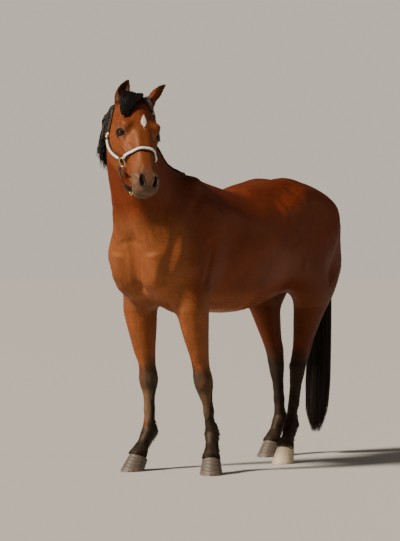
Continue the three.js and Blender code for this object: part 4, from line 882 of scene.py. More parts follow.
def tuft_material():
    material, n, shader = material_for("bay_tufts", Specular_IOR_Level=0.30, Specular_Tint=WARM_GLOSS)
    colour = n.add("ShaderNodeAttribute", attribute_name="bay").outputs["Color"]
    place = n.add("ShaderNodeTexCoord").outputs["Object"]
    fleck = n.span(n.noise(place, 420.0, 2.0), 0.3, 0.7, 0.78, 1.2)
    tint = n.add("ShaderNodeCombineColor", {0: fleck, 1: fleck, 2: fleck}).outputs[0]
    n.tree.links.new(n.mix(colour, tint, 1.0, "MULTIPLY"), shader.inputs["Base Color"])
    n.tree.links.new(n.span(fleck, 0.78, 1.2, 0.57, 0.45), shader.inputs["Roughness"])
    bump = n.add("ShaderNodeBump", {"Height": n.noise(place, 900.0, 2.0), "Strength": 0.25, "Distance": 0.0006})
    n.tree.links.new(bump.outputs[0], shader.inputs["Normal"])
    return material


def eye_material():
    """A dark brown iris with a lying pupil, seen through a wet front."""
    material, n, shader = material_for("eye", Roughness=0.05, Coat_Weight=0.15, Coat_Roughness=0.02,
                                       Specular_IOR_Level=0.38)
    look = n.add("ShaderNodeAttribute", attribute_name="look").outputs["Vector"]
    apart = n.add("ShaderNodeSeparateXYZ", {0: look})
    x, y = apart.outputs[0], apart.outputs[1]
    from_middle = n.math("SQRT", n.math("ADD", n.math("MULTIPLY", x, x), n.math("MULTIPLY", y, y)))
    flat = n.add("ShaderNodeCombineXYZ", {0: n.math("MULTIPLY", x, 1.0 / 0.30), 1: n.math("MULTIPLY", y, 1.0 / 0.13)})
    pupil = n.add("ShaderNodeVectorMath", {0: flat.outputs[0]}, operation="LENGTH").outputs["Value"]
    turn = n.math("ARCTAN2", y, x)
    ray = n.add("ShaderNodeCombineXYZ", {0: n.math("MULTIPLY", turn, 9.0), 1: n.math("MULTIPLY", from_middle, 3.0)})
    rays = n.noise(ray.outputs[0], 2.2, 4.0, 0.65)
    iris = n.mix((0.012, 0.0046, 0.0020), (0.040, 0.016, 0.0065), n.span(rays, 0.35, 0.7))
    iris = n.mix(iris, (0.004, 0.0022, 0.0016), n.span(from_middle, 0.50, 0.70))
    veined = n.mix((0.022, 0.012, 0.009), (0.060, 0.036, 0.028), n.noise(look, 9.0, 4.0))
    colour = n.mix(iris, veined, n.span(from_middle, 0.80, 0.90))
    colour = n.mix((0.0016, 0.0022, 0.0040), colour, n.span(pupil, 0.88, 1.10))
    n.tree.links.new(colour, shader.inputs["Base Color"])
    wet = n.add("ShaderNodeBump", {"Height": n.noise(look, 26.0, 2.0), "Strength": 0.03, "Distance": 0.0004})
    n.tree.links.new(wet.outputs[0], shader.inputs["Normal"])
    return material


def wear_group():
    """Slow stains, fine grain and rubbed high spots for leather, horn and metal."""
    tree, n, given, made = group_for(
        "wear", [("Where", "vector", None), ("Grain", "value", 900.0), ("Stain", "value", 22.0)],
        [("Grain", "value"), ("Stain", "value"), ("Rub", "value")])
    n.tree.links.new(n.noise(given["Where"], given["Grain"], 3.0, 0.6), made["Grain"])
    n.tree.links.new(n.span(n.noise(given["Where"], given["Stain"], 4.0, 0.6), 0.3, 0.7), made["Stain"])
    edge = n.add("ShaderNodeNewGeometry").outputs["Pointiness"]
    n.tree.links.new(n.span(edge, 0.50, 0.56), made["Rub"])
    return tree


WEAR = wear_group()


def worn_material(name, dull, fresh, rubbed, rough, grain=900.0, stain=22.0, bump=0.25, depth=0.0005, **constants):
    """A material that wanders between two colours, and is rubbed to a third on its edges."""
    material, n, shader = material_for(name, **constants)
    place = n.add("ShaderNodeTexCoord").outputs["Object"]
    wear = n.add("ShaderNodeGroup", {"Where": place, "Grain": grain, "Stain": stain}, node_tree=WEAR).outputs
    colour = n.mix(dull, fresh, wear["Stain"])
    colour = n.mix(colour, rubbed, n.math("MULTIPLY", wear["Rub"], 0.7))
    fleck = n.span(wear["Grain"], 0.3, 0.7, 0.82, 1.15)
    tint = n.add("ShaderNodeCombineColor", {0: fleck, 1: fleck, 2: fleck}).outputs[0]
    n.tree.links.new(n.mix(colour, tint, 1.0, "MULTIPLY"), shader.inputs["Base Color"])
    n.tree.links.new(n.span(wear["Stain"], 0.0, 1.0, rough[1], rough[0]), shader.inputs["Roughness"])
    made = n.add("ShaderNodeBump", {"Height": wear["Grain"], "Strength": bump, "Distance": depth})
    n.tree.links.new(made.outputs[0], shader.inputs["Normal"])
    return material


def padding_material():
    """White soft sleeve: a fine knit with a little grime in patches."""
    material, n, shader = material_for("white_padding", Sheen_Weight=0.3, Sheen_Roughness=0.5,
                                       Specular_IOR_Level=0.25)
    place = n.add("ShaderNodeTexCoord").outputs["Object"]
    knit = n.add("ShaderNodeTexVoronoi", {"Vector": place, "Scale": 620.0}).outputs["Distance"]
    grime = n.span(n.noise(place, 34.0, 5.0, 0.65), 0.50, 0.78)
    colour = n.mix((0.80, 0.78, 0.75), (0.52, 0.46, 0.39), n.math("MULTIPLY", grime, 0.6))
    colour = n.mix(colour, (0.62, 0.58, 0.53), n.math("MULTIPLY", n.span(knit, 0.3, 0.9), 0.35))
    n.tree.links.new(colour, shader.inputs["Base Color"])
    n.tree.links.new(n.span(grime, 0.0, 1.0, 0.78, 0.92), shader.inputs["Roughness"])
    bump = n.add("ShaderNodeBump", {"Height": knit, "Strength": 0.35, "Distance": 0.0006})
    n.tree.links.new(bump.outputs[0], shader.inputs["Normal"])
    return material


def horn_material(name, wall, streak, band):
    """Hoof horn: growth rings round it, and fine tubes of horn running down it."""
    material, n, shader = material_for(name, Specular_IOR_Level=0.4)
    grown = n.add("ShaderNodeAttribute", attribute_name="grown").outputs["Vector"]
    apart = n.add("ShaderNodeSeparateXYZ", {0: grown})
    down, turn = apart.outputs[0], apart.outputs[1]
    place = n.add("ShaderNodeTexCoord").outputs["Object"]
    wobble = n.math("MULTIPLY", n.math("SUBTRACT", n.noise(place, 30.0), 0.5), 0.10)
    ring_at = n.add("ShaderNodeCombineXYZ", {0: n.math("MULTIPLY", n.math("ADD", down, wobble), 11.0)}).outputs[0]
    rings = n.noise(ring_at, 1.0, 4.0, 0.7)
    tubes_at = n.add("ShaderNodeCombineXYZ", {0: n.math("MULTIPLY", turn, 46.0),
                                              1: n.math("MULTIPLY", down, 1.6)}).outputs[0]
    tubes = n.noise(tubes_at, 1.0, 4.0, 0.7)
    colour = n.mix(wall, streak, n.span(tubes, 0.42, 0.68))
    colour = n.mix(colour, band, n.math("MULTIPLY", n.span(rings, 0.45, 0.65), 0.55))
    dust = n.math("MULTIPLY", n.span(down, 0.75, 1.0), n.span(n.noise(place, 60.0, 4.0), 0.35, 0.65))
    colour = n.mix(colour, (0.30, 0.25, 0.20), n.math("MULTIPLY", dust, 0.5))
    n.tree.links.new(colour, shader.inputs["Base Color"])
    n.tree.links.new(n.span(tubes, 0.3, 0.7, 0.38, 0.55), shader.inputs["Roughness"])
    height = n.math("ADD", n.math("MULTIPLY", rings, 1.0), n.math("MULTIPLY", tubes, 0.35))
    bump = n.add("ShaderNodeBump", {"Height": height, "Strength": 0.6, "Distance": 0.0022})
    n.tree.links.new(bump.outputs[0], shader.inputs["Normal"])
    return material


def painted(mesh, points=None):
    """Gives each point of a mesh its coat colour, with its painted light and shade."""
    points = points_of(mesh) if points is None else points
    colour = np.ones((len(points), 4), np.float32)
    colour[:, :3] = coat_colour(points)
    mesh.color_attributes.new("bay", "FLOAT_COLOR", "POINT").data.foreach_set("color", colour.ravel())
    return colour


def dress_skin(piece):
    mesh = piece.data
    p = points_of(mesh)
    colour = painted(mesh)
    h = head_of(p)
    bare = smooth(0.030, 0.020, colour[:, 0]) * (region_of(p) == 2)
    dark = smooth(0.06, 0.02, colour[:, 0])
    marks = np.stack([star_measure(p), bare, dark], 1)
    mesh.attributes.new("marks", "FLOAT_VECTOR", "POINT").data.foreach_set(
        "vector", marks.astype(np.float32).ravel())
    # the lie of the coat, in metres round and along each region
    corner = np.empty(len(mesh.loops), int)
    mesh.loops.foreach_get("vertex_index", corner)
    start = np.empty(len(mesh.polygons), int)
    mesh.polygons.foreach_get("loop_start", start)
    count = np.empty(len(mesh.polygons), int)
    mesh.polygons.foreach_get("loop_total", count)
    face = np.repeat(np.arange(len(start)), count)
    region = region_of(p[corner[start]])[face]
    angle, radius, along = unwrapped(p[corner], region)
    first = angle[start][face]
    angle = first + (angle - first + math.pi) % (2 * math.pi) - math.pi
    uv = np.stack([angle * radius, along], 1).astype(np.float32)
    mesh.uv_layers.new(name="lie").data.foreach_set("uv", uv.ravel())
    mesh.materials.clear()
    mesh.materials.append(skin_material())
    mesh.polygons.foreach_set("use_smooth", [True] * len(mesh.polygons))
    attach(piece, "root")
    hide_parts(*FLESH)


def thinned(piece, target):
    """Thins the mesh where its form is plain."""
    triangles = sum(len(f.vertices) - 2 for f in piece.data.polygons)
    thin = piece.modifiers.new("thin", "DECIMATE")
    thin.ratio = target / triangles
    applied(piece)


thinned(skin, 190000)
dress_skin(skin)

# ------------------------------------------------------------------ the coat's tufts

SKIN_POINTS = points_of(skin.data)
SKIN_TREE = BVHTree.FromPolygons([tuple(v) for v in SKIN_POINTS], [tuple(f.vertices) for f in skin.data.polygons])


def on_surface(points):
    """The nearest places on the skin, and the directions out of it there."""
    hits = [SKIN_TREE.find_nearest(Vector(p)) for p in points]
    return np.array([h[0] for h in hits]), np.array([h[1] for h in hits])


def piece_from(name, points, faces, corners, material, chart=None, colour=None):
    """A mesh from arrays: faces is one row of point numbers for each face."""
    mesh = bpy.data.meshes.new(name)
    mesh.vertices.add(len(points))
    mesh.vertices.foreach_set("co", points.astype(np.float32).ravel())
    mesh.loops.add(faces.size)
    mesh.loops.foreach_set("vertex_index", faces.ravel().astype(np.int32))
    mesh.polygons.add(len(faces))
    mesh.polygons.foreach_set("loop_start", np.arange(0, faces.size, corners, dtype=np.int32))
    mesh.update(calc_edges=True)
    mesh.polygons.foreach_set("use_smooth", [True] * len(mesh.polygons))
    if chart is not None:
        mesh.uv_layers.new(name="OFBake").data.foreach_set("uv", chart[faces.ravel()].astype(np.float32).ravel())
    if colour is not None:
        full = np.ones((len(points), 4), np.float32)
        full[:, :3] = colour
        mesh.color_attributes.new("bay", "FLOAT_COLOR", "POINT").data.foreach_set("color", full.ravel())
    mesh.materials.append(material)
    piece = bpy.data.objects.new(name, mesh)
    bpy.context.collection.objects.link(piece)
    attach(piece, "root")
    return piece


def sown(density, seed):
    """Roots scattered over the skin, density(points, normals) to the square metre."""
    rng = np.random.default_rng(seed)
    mesh = skin.data
    mesh.calc_loop_triangles()
    t = np.empty(len(mesh.loop_triangles) * 3, int)
    mesh.loop_triangles.foreach_get("vertices", t)
    t = t.reshape(-1, 3)
    a, b, c = (SKIN_POINTS[t[:, k]] for k in range(3))
    across = np.cross(b - a, c - a)
    area = np.linalg.norm(across, axis=1) / 2
    normal = across / np.maximum(area * 2, 1e-12)[:, None]
    want = area * density((a + b + c) / 3, normal)
    count = np.floor(want + rng.random(len(want))).astype(int)
    pick = np.repeat(np.arange(len(t)), count)
    u, v = rng.random(len(pick)), rng.random(len(pick))
    over = u + v > 1
    u[over], v[over] = 1 - u[over], 1 - v[over]
    points = a[pick] + (b - a)[pick] * u[:, None] + (c - a)[pick] * v[:, None]
    smooth_normals = normals_of(mesh)
    n = smooth_normals[t[pick, 0]] * (1 - u - v)[:, None] + smooth_normals[t[pick, 1]] * u[:, None]
    n += smooth_normals[t[pick, 2]] * v[:, None]
    return points, unit(n), rng


KITE = np.array([[0, 1, 3], [0, 3, 2], [1, 4, 3], [3, 4, 2], [0, 2, 4], [0, 4, 1]])


def tufts(name, roots, normals, lie, length, width, lift, rng, material, tint=None):
    """Short tufts, each a thin kite that leaves the skin at its root and lies along the coat."""
    count = len(roots)
    side = np.cross(normals, lie)
    swing = rng.normal(0, 0.20, count)[:, None]
    lie = unit(lie + side * swing)
    side = np.cross(normals, lie)
    length = length * rng.uniform(0.75, 1.25, count)
    width = width * rng.uniform(0.8, 1.25, count)
    L, W = length[:, None], width[:, None]
    rise = (lift * rng.uniform(0.6, 1.4, count))[:, None]
    p = np.empty((count, 5, 3))
    p[:, 0] = roots - normals * 0.0006
    middle = roots + lie * L * 0.45
    p[:, 1] = middle - side * W * 0.5 + normals * rise * 0.25
    p[:, 2] = middle + side * W * 0.5 + normals * rise * 0.25
    p[:, 3] = middle + normals * (rise * 0.7 + W * 0.15)
    p[:, 4] = roots + lie * L + normals * rise
    faces = (KITE[None] + 5 * np.arange(count)[:, None, None]).reshape(-1, 3)
    chart = on_chart(roots)[:, None] + np.array([[0, -1.5], [-1.5, 0], [1.5, 0], [0, 0], [0, 1.5]]) / 1000
    colour = coat_colour(roots) if tint is None else np.tile(np.asarray(tint, float), (count, 1))
    if tint is None:
        star = smooth(-1.5, 2.5, star_measure(roots) + rng.normal(0, 1.6, count))
        colour = blended(colour, np.array([0.78, 0.73, 0.67]), star)
    colour = colour * rng.uniform(0.90, 1.12, count)[:, None]
    # painted shade at each tuft's root and painted light towards its tip
    shade = np.array([0.94, 1.0, 1.0, 1.02, 1.08])[None, :, None]
    colour = np.clip(colour[:, None] * shade, 0.002, 1)
    piece = piece_from(name, p.reshape(-1, 3), faces, 3, material, chart.reshape(-1, 2), colour.reshape(-1, 3))
    # each tuft takes the light much as the skin under it does
    lit = unit(normals[:, None] + side[:, None] * np.array([0, -0.16, 0.16, 0, 0])[None, :, None]
               + lie[:, None] * np.array([-0.10, 0, 0, 0, 0.14])[None, :, None])
    piece.data.normals_split_custom_set_from_vertices(lit.reshape(-1, 3).astype(np.float32))
    return piece


def short_coat():
    """The close coat over the whole skin, one piece to a region."""
    material = tuft_material()

    def density(p, n):
        f, h = horse_of(p), head_of(p)
        region = region_of(p)
        d = np.select([region == 2, region >= 5, region == 1, (region == 3) | (region == 4)],
                      [52000, 38000, 26000, 40000], 19000).astype(float)
        bare = (region == 2) & (coat_colour(p)[:, 0] < 0.045)
        d[bare] = 0
        return d * 1.0

    roots, normals, rng = sown(density, 11)
    region, f = region_of(roots), horse_of(roots)
    lie = lie_of(roots, normals)
    length = np.select([region == 2, region >= 5, region == 1, (region == 3) | (region == 4)],
                       [0.0065, 0.0085, 0.012, 0.007], 0.0135)
    width = np.select([region == 2, region >= 5, region == 1, (region == 3) | (region == 4)],
                      [0.0013, 0.0018, 0.0024, 0.0013], 0.0028)
    lift = np.select([region == 2, region >= 5], [0.0004, 0.0006], 0.0007)
    groups = {"coat_head": (region == 2) | (region == 3) | (region == 4), "coat_neck": region == 1,
              "coat_legs_front": (region == 5) | (region == 6), "coat_legs_hind": region >= 7,
              "coat_front": (region == 0) & (f[:, 0] > 250),
              "coat_middle": (region == 0) & (f[:, 0] <= 250) & (f[:, 0] > -280),
              "coat_rear": (region == 0) & (f[:, 0] <= -280)}
    for name, chosen in groups.items():
        k = chosen.nonzero()[0]
        for part, some in enumerate(np.array_split(k, max(1, math.ceil(len(k) / 32000)))):
            label = name if part == 0 else f"{name}_{part + 1}"
            coat = tufts(label, roots[some], normals[some], lie[some], length[some], width[some], lift[some],
                         rng, material)
            print(label, len(some) * 6)


def long_tufts():
    """Longer hair where it breaks the outline: ears, jaw, fetlocks, coronets, belly and the backs of the thighs."""
    material = tuft_material()
    material.name = "long_tufts"

    def sown_near(name, density, length, width, lift, seed, way=None, tint=None):
        roots, normals, rng = sown(density, seed)
        lie = lie_of(roots, normals) if way is None else way(roots, normals)
        full = np.ones(len(roots))
        piece = tufts(name, roots, normals, lie, full * length, full * width, full * lift, rng, material, tint)
        print(name, len(roots) * 6)

    def jaw(p, n):
        h = head_of(p)
        under = unit(n) @ HEAD_FACE < -0.55
        on = (region_of(p) == 2) & under & (h[:, 1] > 60) & (h[:, 1] < 470)
        return np.where(on, 26000, 0)

    sown_near("coat_jaw", jaw, 0.015, 0.0018, 0.004, 21)

    def fetlock(p, n):
        f = horse_of(p)
        on = (f[:, 2] < 262) & (f[:, 2] > 120) & (n[:, 1] > 0.45)
        return np.where(on, 46000, 0)

    def hanging(p, n):
        lie = lie_of(p, n) + n * 0.35 + np.array([0, 0.1, -0.3])
        return unit(lie)

    sown_near("coat_fetlocks", fetlock, 0.015, 0.0019, 0.0035, 22, hanging)

    def coronet(p, n):
        f = horse_of(p)
        return np.where((f[:, 2] < 112) & (n[:, 2] > -0.6), 110000, 0)

    sown_near("coat_coronets", coronet, 0.013, 0.0018, 0.0016, 23, None)

    def belly(p, n):
        f = horse_of(p)
        on = (f[:, 2] < 900) & (n[:, 2] < -0.75) & (region_of(p) == 0)
        return np.where(on, 15000, 0)

    sown_near("coat_belly", belly, 0.019, 0.0026, 0.003, 24)

    def ear_rim(p, n):
        region = region_of(p)
        return np.where((region == 3) | (region == 4), 52000, 0)

    sown_near("coat_ears", ear_rim, 0.0085, 0.0013, 0.0022, 25)

    def buttock(p, n):
        f = horse_of(p)
        on = (f[:, 0] < -700) & (n[:, 1] > 0.5) & (f[:, 2] > 800) & (f[:, 2] < 1300)
        return np.where(on, 15000, 0)

    sown_near("coat_thighs", buttock, 0.018, 0.0024, 0.003, 26)


short_coat()
long_tufts()


# ------------------------------------------------------------------ long hair in locks

def locks(name, spines, width, thick, colour, material, chart_at, turn=None):
    """Locks of hair: flat, pointed ropes along rows of points. spines is (lock, station, 3)."""
    count, stations, _ = spines.shape
    along = np.gradient(spines, axis=1)
    along = unit(along)
    out = turn if turn is not None else np.tile([0, 0, 1.0], (count, stations, 1))
    side = unit(np.cross(along, out))
    out = unit(np.cross(side, along))
    t = np.linspace(0, 1, stations)
    shape = (0.55 + 0.45 * np.sin(np.clip(t * 1.6, 0, 1) * math.pi / 2)) * (1 - t ** 3.2) ** 0.8
    w = width[:, None] * shape[None] * 0.5
    h = thick[:, None] * shape[None] * 0.5
    ring = []
    for c, s in ((1, 0), (0.25, 0.9), (-0.5, 0.6), (-1, 0), (0, -0.8)):
        ring.append(spines + side * (w * c)[..., None] + out * (h * s)[..., None])
    p = np.stack(ring, 2)
    p[:, -1] = spines[:, -1][:, None]
    body = p[:, :-1].reshape(count, -1, 3)
    tips = spines[:, -1:]
    verts = np.concatenate([body, tips], 1)
    per, k = verts.shape[1], 5
    faces = []
    for i in range(stations - 2):
        for j in range(k):
            a, b = i * k + j, i * k + (j + 1) % k
            faces += [[a, b, b + k], [a, b + k, a + k]]
    last = (stations - 2) * k
    for j in range(k):
        faces.append([last + j, last + (j + 1) % k, per - 1])
    faces += [[0, 2, 1], [0, 3, 2], [0, 4, 3]]
    faces = np.array(faces)
    # faces outwards
    first = verts[0]
    a, b, c = first[faces[:, 0]], first[faces[:, 1]], first[faces[:, 2]]
    if np.einsum("ij,ij->", a, np.cross(b, c)) < 0:
        faces = faces[:, ::-1]
    every = (faces[None] + per * np.arange(count)[:, None, None]).reshape(-1, 3)
    chart = on_chart(chart_at)[:, None] + np.stack(
        [np.tile(np.linspace(-1.5, 1.5, k), per // k + 1)[:per], np.linspace(-1.5, 1.5, per)], 1)[None] / 1000
    tone = colour[:, None] * np.linspace(0.8, 1.25, per)[None, :, None]
    piece = piece_from(name, verts.reshape(-1, 3), every, 3, material, chart.reshape(-1, 2), tone.reshape(-1, 3))
    print(name, len(every))
    return piece


def lock_material():
    material, n, shader = material_for("black_hair", Specular_IOR_Level=0.22, Specular_Tint=(0.9, 0.82, 0.76, 1))
    colour = n.add("ShaderNodeAttribute", attribute_name="bay").outputs["Color"]
    place = n.add("ShaderNodeTexCoord").outputs["Object"]
    streak = n.add("ShaderNodeMapping", {"Vector": place, "Scale": (900.0, 900.0, 60.0)}).outputs[0]
    hairs = n.noise(streak, 1.0, 2.0, 0.6)
    fleck = n.span(hairs, 0.3, 0.7, 0.6, 1.5)
    tint = n.add("ShaderNodeCombineColor", {0: fleck, 1: fleck, 2: fleck}).outputs[0]
    n.tree.links.new(n.mix(colour, tint, 1.0, "MULTIPLY"), shader.inputs["Base Color"])
    n.tree.links.new(n.span(hairs, 0.3, 0.7, 0.48, 0.34), shader.inputs["Roughness"])
    bump = n.add("ShaderNodeBump", {"Height": hairs, "Strength": 0.35, "Distance": 0.0008})
    n.tree.links.new(bump.outputs[0], shader.inputs["Normal"])
    return material


HAIR_BLACK = np.array([0.0056, 0.0043, 0.0038])


def hair_tones(count, rng):
    tone = HAIR_BLACK * rng.uniform(0.6, 1.6, count)[:, None]
    faded = rng.random(count) < 0.12
    tone[faded] *= np.array([2.6, 1.9, 1.5])
    return tone


def crest_line():
    """The top of the neck, from between the ears to the withers."""
    axis = curve_through([at(826, 62, 1935), at(800, 45, 1900), at(752, 12, 1830), at(690, -2, 1745),
                          at(610, -4, 1665), at(520, -2, 1605), at(430, 0, 1575), at(350, 0, 1562)], 8)
    high = axis + np.array([0, 0.03, 0.03])
    return on_surface(high)[0]


# The fall of the mane on the right of the neck, from the poll to the withers: the share of the
# crest, the middle of the fall, its depth over the neck and half its drop.
MANE_FALL = [(0.00, (789, -35, 1866), 24, 64), (0.12, (822, -64, 1826), 46, 108), (0.26, (826, -94, 1770), 60, 134),
             (0.42, (790, -100, 1706), 50, 130), (0.58, (705, -109, 1652), 32, 104), (0.73, (596, -121, 1585), 22, 74),
             (0.88, (464, -126, 1540), 16, 42), (1.00, (350, -104, 1524), 12, 22)]
DOWN_THE_FALL = at(0.22, -0.12, -0.95) * 1000 - FOOTPRINT * 1000


def woven(controls, stations):
    """Smooth spines through rows of control points (lock, control, 3)."""
    c = np.concatenate([2 * controls[:, :1] - controls[:, 1:2], controls,
                        2 * controls[:, -1:] - controls[:, -2:-1]], 1)
    u = np.linspace(0, controls.shape[1] - 1.0001, stations)
    i, t = u.astype(int), (u - u.astype(int))[None, :, None]
    a, b, d, e = (c[:, i + k] for k in range(4))
    return 0.5 * (2 * b + (d - a) * t + (2 * a - 5 * b + 4 * d - e) * t * t + (3 * b - 3 * d + e - a) * t ** 3)


def clear_of_skin(spines, least, most):
    """Keeps spines between two heights over the skin, and gives the directions out of it."""
    count, stations, _ = spines.shape
    near, n = on_surface(spines.reshape(-1, 3))
    near, n = near.reshape(spines.shape), n.reshape(spines.shape)
    off = np.einsum("ijk,ijk->ij", spines - near, n)
    change = np.maximum(least[:, None] - off, 0) - np.maximum(off - most[:, None], 0)
    return spines + n * (change * np.minimum(np.arange(stations) / 2.0, 1)[None])[..., None], n


def mane():
    rng = np.random.default_rng(31)
    count = 1580
    crest = crest_line()
    t = np.clip(rng.beta(0.95, 1.25, count), 0, 0.999)
    k = t * (len(crest) - 1)
    i = k.astype(int)
    right = np.array([-1.0, 0, 0])
    base = crest[i] + (crest[i + 1] - crest[i]) * (k - i)[:, None] + right * rng.uniform(-0.010, 0.012, count)[:, None]
    roots, normals = on_surface(base)
    share = np.array([row[0] for row in MANE_FALL])
    at_fall = np.clip(t + rng.normal(0, 0.030, count), 0, 1)

    def along(values):
        return np.interp(at_fall, share, values)

    centre = np.stack([along([at(*row[1])[k] for row in MANE_FALL]) for k in range(3)], 1)
    depth, half = along([row[2] for row in MANE_FALL]) / 1000, along([row[3] for row in MANE_FALL]) / 1000
    level = np.sqrt(rng.uniform(0.002, 1, count))
    _, out = on_surface(centre)
    out = unit(out + right * 1.5)
    drop = rng.uniform(0.55, 1.25, count) * half
    fall = unit(DOWN_THE_FALL + rng.normal(0, 0.07, (count, 3)))
    lift = (out * (depth * level)[:, None])
    over = roots + (normals * 0.012 + right * 0.012) * rng.uniform(0.5, 1.5, count)[:, None]
    controls = np.stack([roots - normals * 0.003, over, centre - fall * (half * 0.55)[:, None] + lift * 0.9,
                         centre + lift * 1.1, centre + fall * (drop * 0.6)[:, None] + lift,
                         centre + fall * drop[:, None] + lift * 0.7], 1)
    controls[:, 3:] += rng.normal(0, 0.004, (count, 3, 3))
    spines, outs = clear_of_skin(woven(controls, 13), rng.uniform(0.002, 0.006, count), np.full(count, 0.2))
    width, thick = rng.uniform(0.005, 0.012, count), rng.uniform(0.0016, 0.0032, count)
    piece = locks("mane_locks", spines, width, thick, hair_tones(count, rng), lock_material(), roots, outs)
    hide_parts("mane")


# The forelock's middle line on the head, its depth and half its width.
FORELOCK_FALL = [((-6, -48, -40), 22, 44), ((-32, -14, 2), 24, 56), ((-58, 26, 10), 18, 54), ((-76, 70, 4), 14, 42),
                 ((-86, 106, -2), 10, 26), ((-90, 136, -6), 6, 12)]
# A few grey hairs part from it to the left ear.
STRAY_FALL = [(6, -44, -30), (34, -22, -4), (62, 8, -12), (84, 48, -36), (94, 84, -58)]


def forelock():
    rng = np.random.default_rng(32)
    count, strays = ((900, 80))
    places = np.array([p for p, *_ in FORELOCK_FALL], float)
    depth, half = (np.array([row[k] for row in FORELOCK_FALL], float) for k in (1, 2))
    side, level = rng.uniform(-1, 1, count), np.sqrt(rng.uniform(0, 1, count))
    c = np.repeat(places[None], count, 0)
    c[..., 0] += side[:, None] * half[None]
    c[..., 2] += level[:, None] * depth[None] - 6
    c[:, 1:] += rng.normal(0, 2.5, (count, len(places) - 1, 3))
    reach = rng.uniform(0.45, 1.0, count)[:, None, None]
    u = np.arange(len(places))[None, :, None] * reach
    low = np.minimum(u.astype(int), len(places) - 2)
    c = np.take_along_axis(c, low, 1) * (1 - (u - low)) + np.take_along_axis(c, low + 1, 1) * (u - low)
    loose = np.repeat(np.array(STRAY_FALL, float)[None], strays, 0) + rng.normal(0, 5, (strays, 1, 3))
    loose = loose + rng.normal(0, 1.5, loose.shape)
    rows = [POLL + woven(x, 11) @ HEAD_AXES / 1000 for x in (c, loose)]
    spines, outs = clear_of_skin(np.concatenate(rows), rng.uniform(0.002, 0.006, count + strays),
                                 np.concatenate([rng.uniform(0.014, 0.030, count), rng.uniform(0.004, 0.012, strays)]))
    roots = on_surface(spines[:, 0])[0]
    spines[:, 0] = roots
    total = count + strays
    width, thick = rng.uniform(0.004, 0.009, total), rng.uniform(0.0014, 0.0028, total)
    tones = hair_tones(total, rng)
    tones[:count] *= 0.8
    tones[count:] = np.array([0.10, 0.085, 0.072]) * rng.uniform(0.4, 1.3, strays)[:, None]
    piece = locks("forelock_locks", spines, width, thick, tones, lock_material(), roots, outs)
    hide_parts("forelock")


TAIL_LINE = [(-862, 1410, 26), (-886, 1370, 34), (-912, 1300, 45), (-918, 1130, 58), (-910, 900, 66),
             (-896, 650, 74), (-880, 420, 80), (-868, 250, 72), (-860, 125, 30)]


def tail():
    rng = np.random.default_rng(33)
    count = 1320
    line = curve_through([at(f, 0, u) for f, u, _ in TAIL_LINE], 6)
    half = np.interp(np.linspace(0, 1, len(line)), np.linspace(0, 1, len(TAIL_LINE)), [w for *_, w in TAIL_LINE]) / 1000
    drop = np.concatenate([[0], np.cumsum(np.linalg.norm(np.diff(line, axis=0), axis=1))])
    total = drop[-1]
    stations = 16
    begin = np.where(rng.random(count) < 0.45, rng.uniform(0.01, 0.10, count), rng.uniform(0.05, 0.42, count))
    finish = np.clip(begin + rng.uniform(0.35, 1.0, count), 0.55, 1.0)
    finish = np.where(rng.random(count) < 0.30, rng.uniform(0.93, 1.0, count), finish)
    around, rank = rng.uniform(0, 2 * math.pi, count), np.sqrt(rng.uniform(0.15, 1, count))
    wave, phase = rng.normal(0, 0.14, count), rng.uniform(0, 6.28, count)
    k = np.linspace(0, 1, stations)[None]
    s = (begin[:, None] + (finish - begin)[:, None] * k) * total
    where = np.stack([np.interp(s, drop, line[:, c]) for c in range(3)], 2)
    wide = np.interp(s, drop, half)
    spread = rank[:, None] * (0.35 + 0.62 * smooth(0, 0.30, k)) + 0 * s
    a = around[:, None] + wave[:, None] * np.sin(phase[:, None] + 5 * k)
    where[..., 0] += np.cos(a) * wide * spread
    where[..., 1] += np.sin(a) * wide * spread * 0.72
    out = np.stack([np.cos(a), np.sin(a), 0 * a], 2)
    width, thick = rng.uniform(0.006, 0.013, count), rng.uniform(0.0018, 0.0036, count)
    roots = where[:, 0]
    piece = locks("tail_locks", where, width, thick, hair_tones(count, rng), lock_material(), roots, out)
    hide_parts("tail")


mane()
forelock()
tail()


# ------------------------------------------------------------------ the headcollar

def draped(path, clear, count, hanging=False):
    """A line of points given on the head, laid at a distance over the skin and pulled taut, and
    the directions out of the skin there."""
    line = curve_through([on_head(*p) for p in path], 12)
    far = np.concatenate([[0], np.cumsum(np.linalg.norm(np.diff(line, axis=0), axis=1))])
    line = np.stack([np.interp(np.linspace(0, far[-1], count), far, line[:, k]) for k in range(3)], 1)

    def lifted(p, always):
        near, out = on_surface(p)
        off = np.einsum("ij,ij->i", p - near, out)
        short = clear - off
        return p + out * np.where(always | (short > 0), short, 0)[:, None]

    if not hanging:
        for _ in range(6):
            line = lifted(line, True)
    for _ in range(0 if hanging else 60):
        line[1:-1] = line[1:-1] * 0.5 + (line[2:] + line[:-2]) * 0.25
        line = lifted(line, False)
    out = on_surface(line)[1]
    for _ in range(10):
        out[1:-1] = unit(out[1:-1] * 0.5 + (out[2:] + out[:-2]) * 0.25)
    return line, out


def rounded(width, height, corner, steps=3, middle=0.0):
    """A rounded rectangle standing on the line: points to the side and out, in millimetres."""
    points = []
    for sx, sy, start in ((1, -1, -90), (1, 1, 0), (-1, 1, 90), (-1, -1, 180)):
        for k in range(steps + 1):
            a = math.radians(start + 90 * k / steps)
            points.append((middle + sx * (width / 2 - corner) + corner * math.cos(a),
                           height / 2 + sy * (height / 2 - corner) + corner * math.sin(a)))
    return np.array(points)


def disc(radius, steps=10):
    a = np.linspace(0, 2 * math.pi, steps, endpoint=False)
    return np.stack([np.cos(a), np.sin(a)], 1) * radius


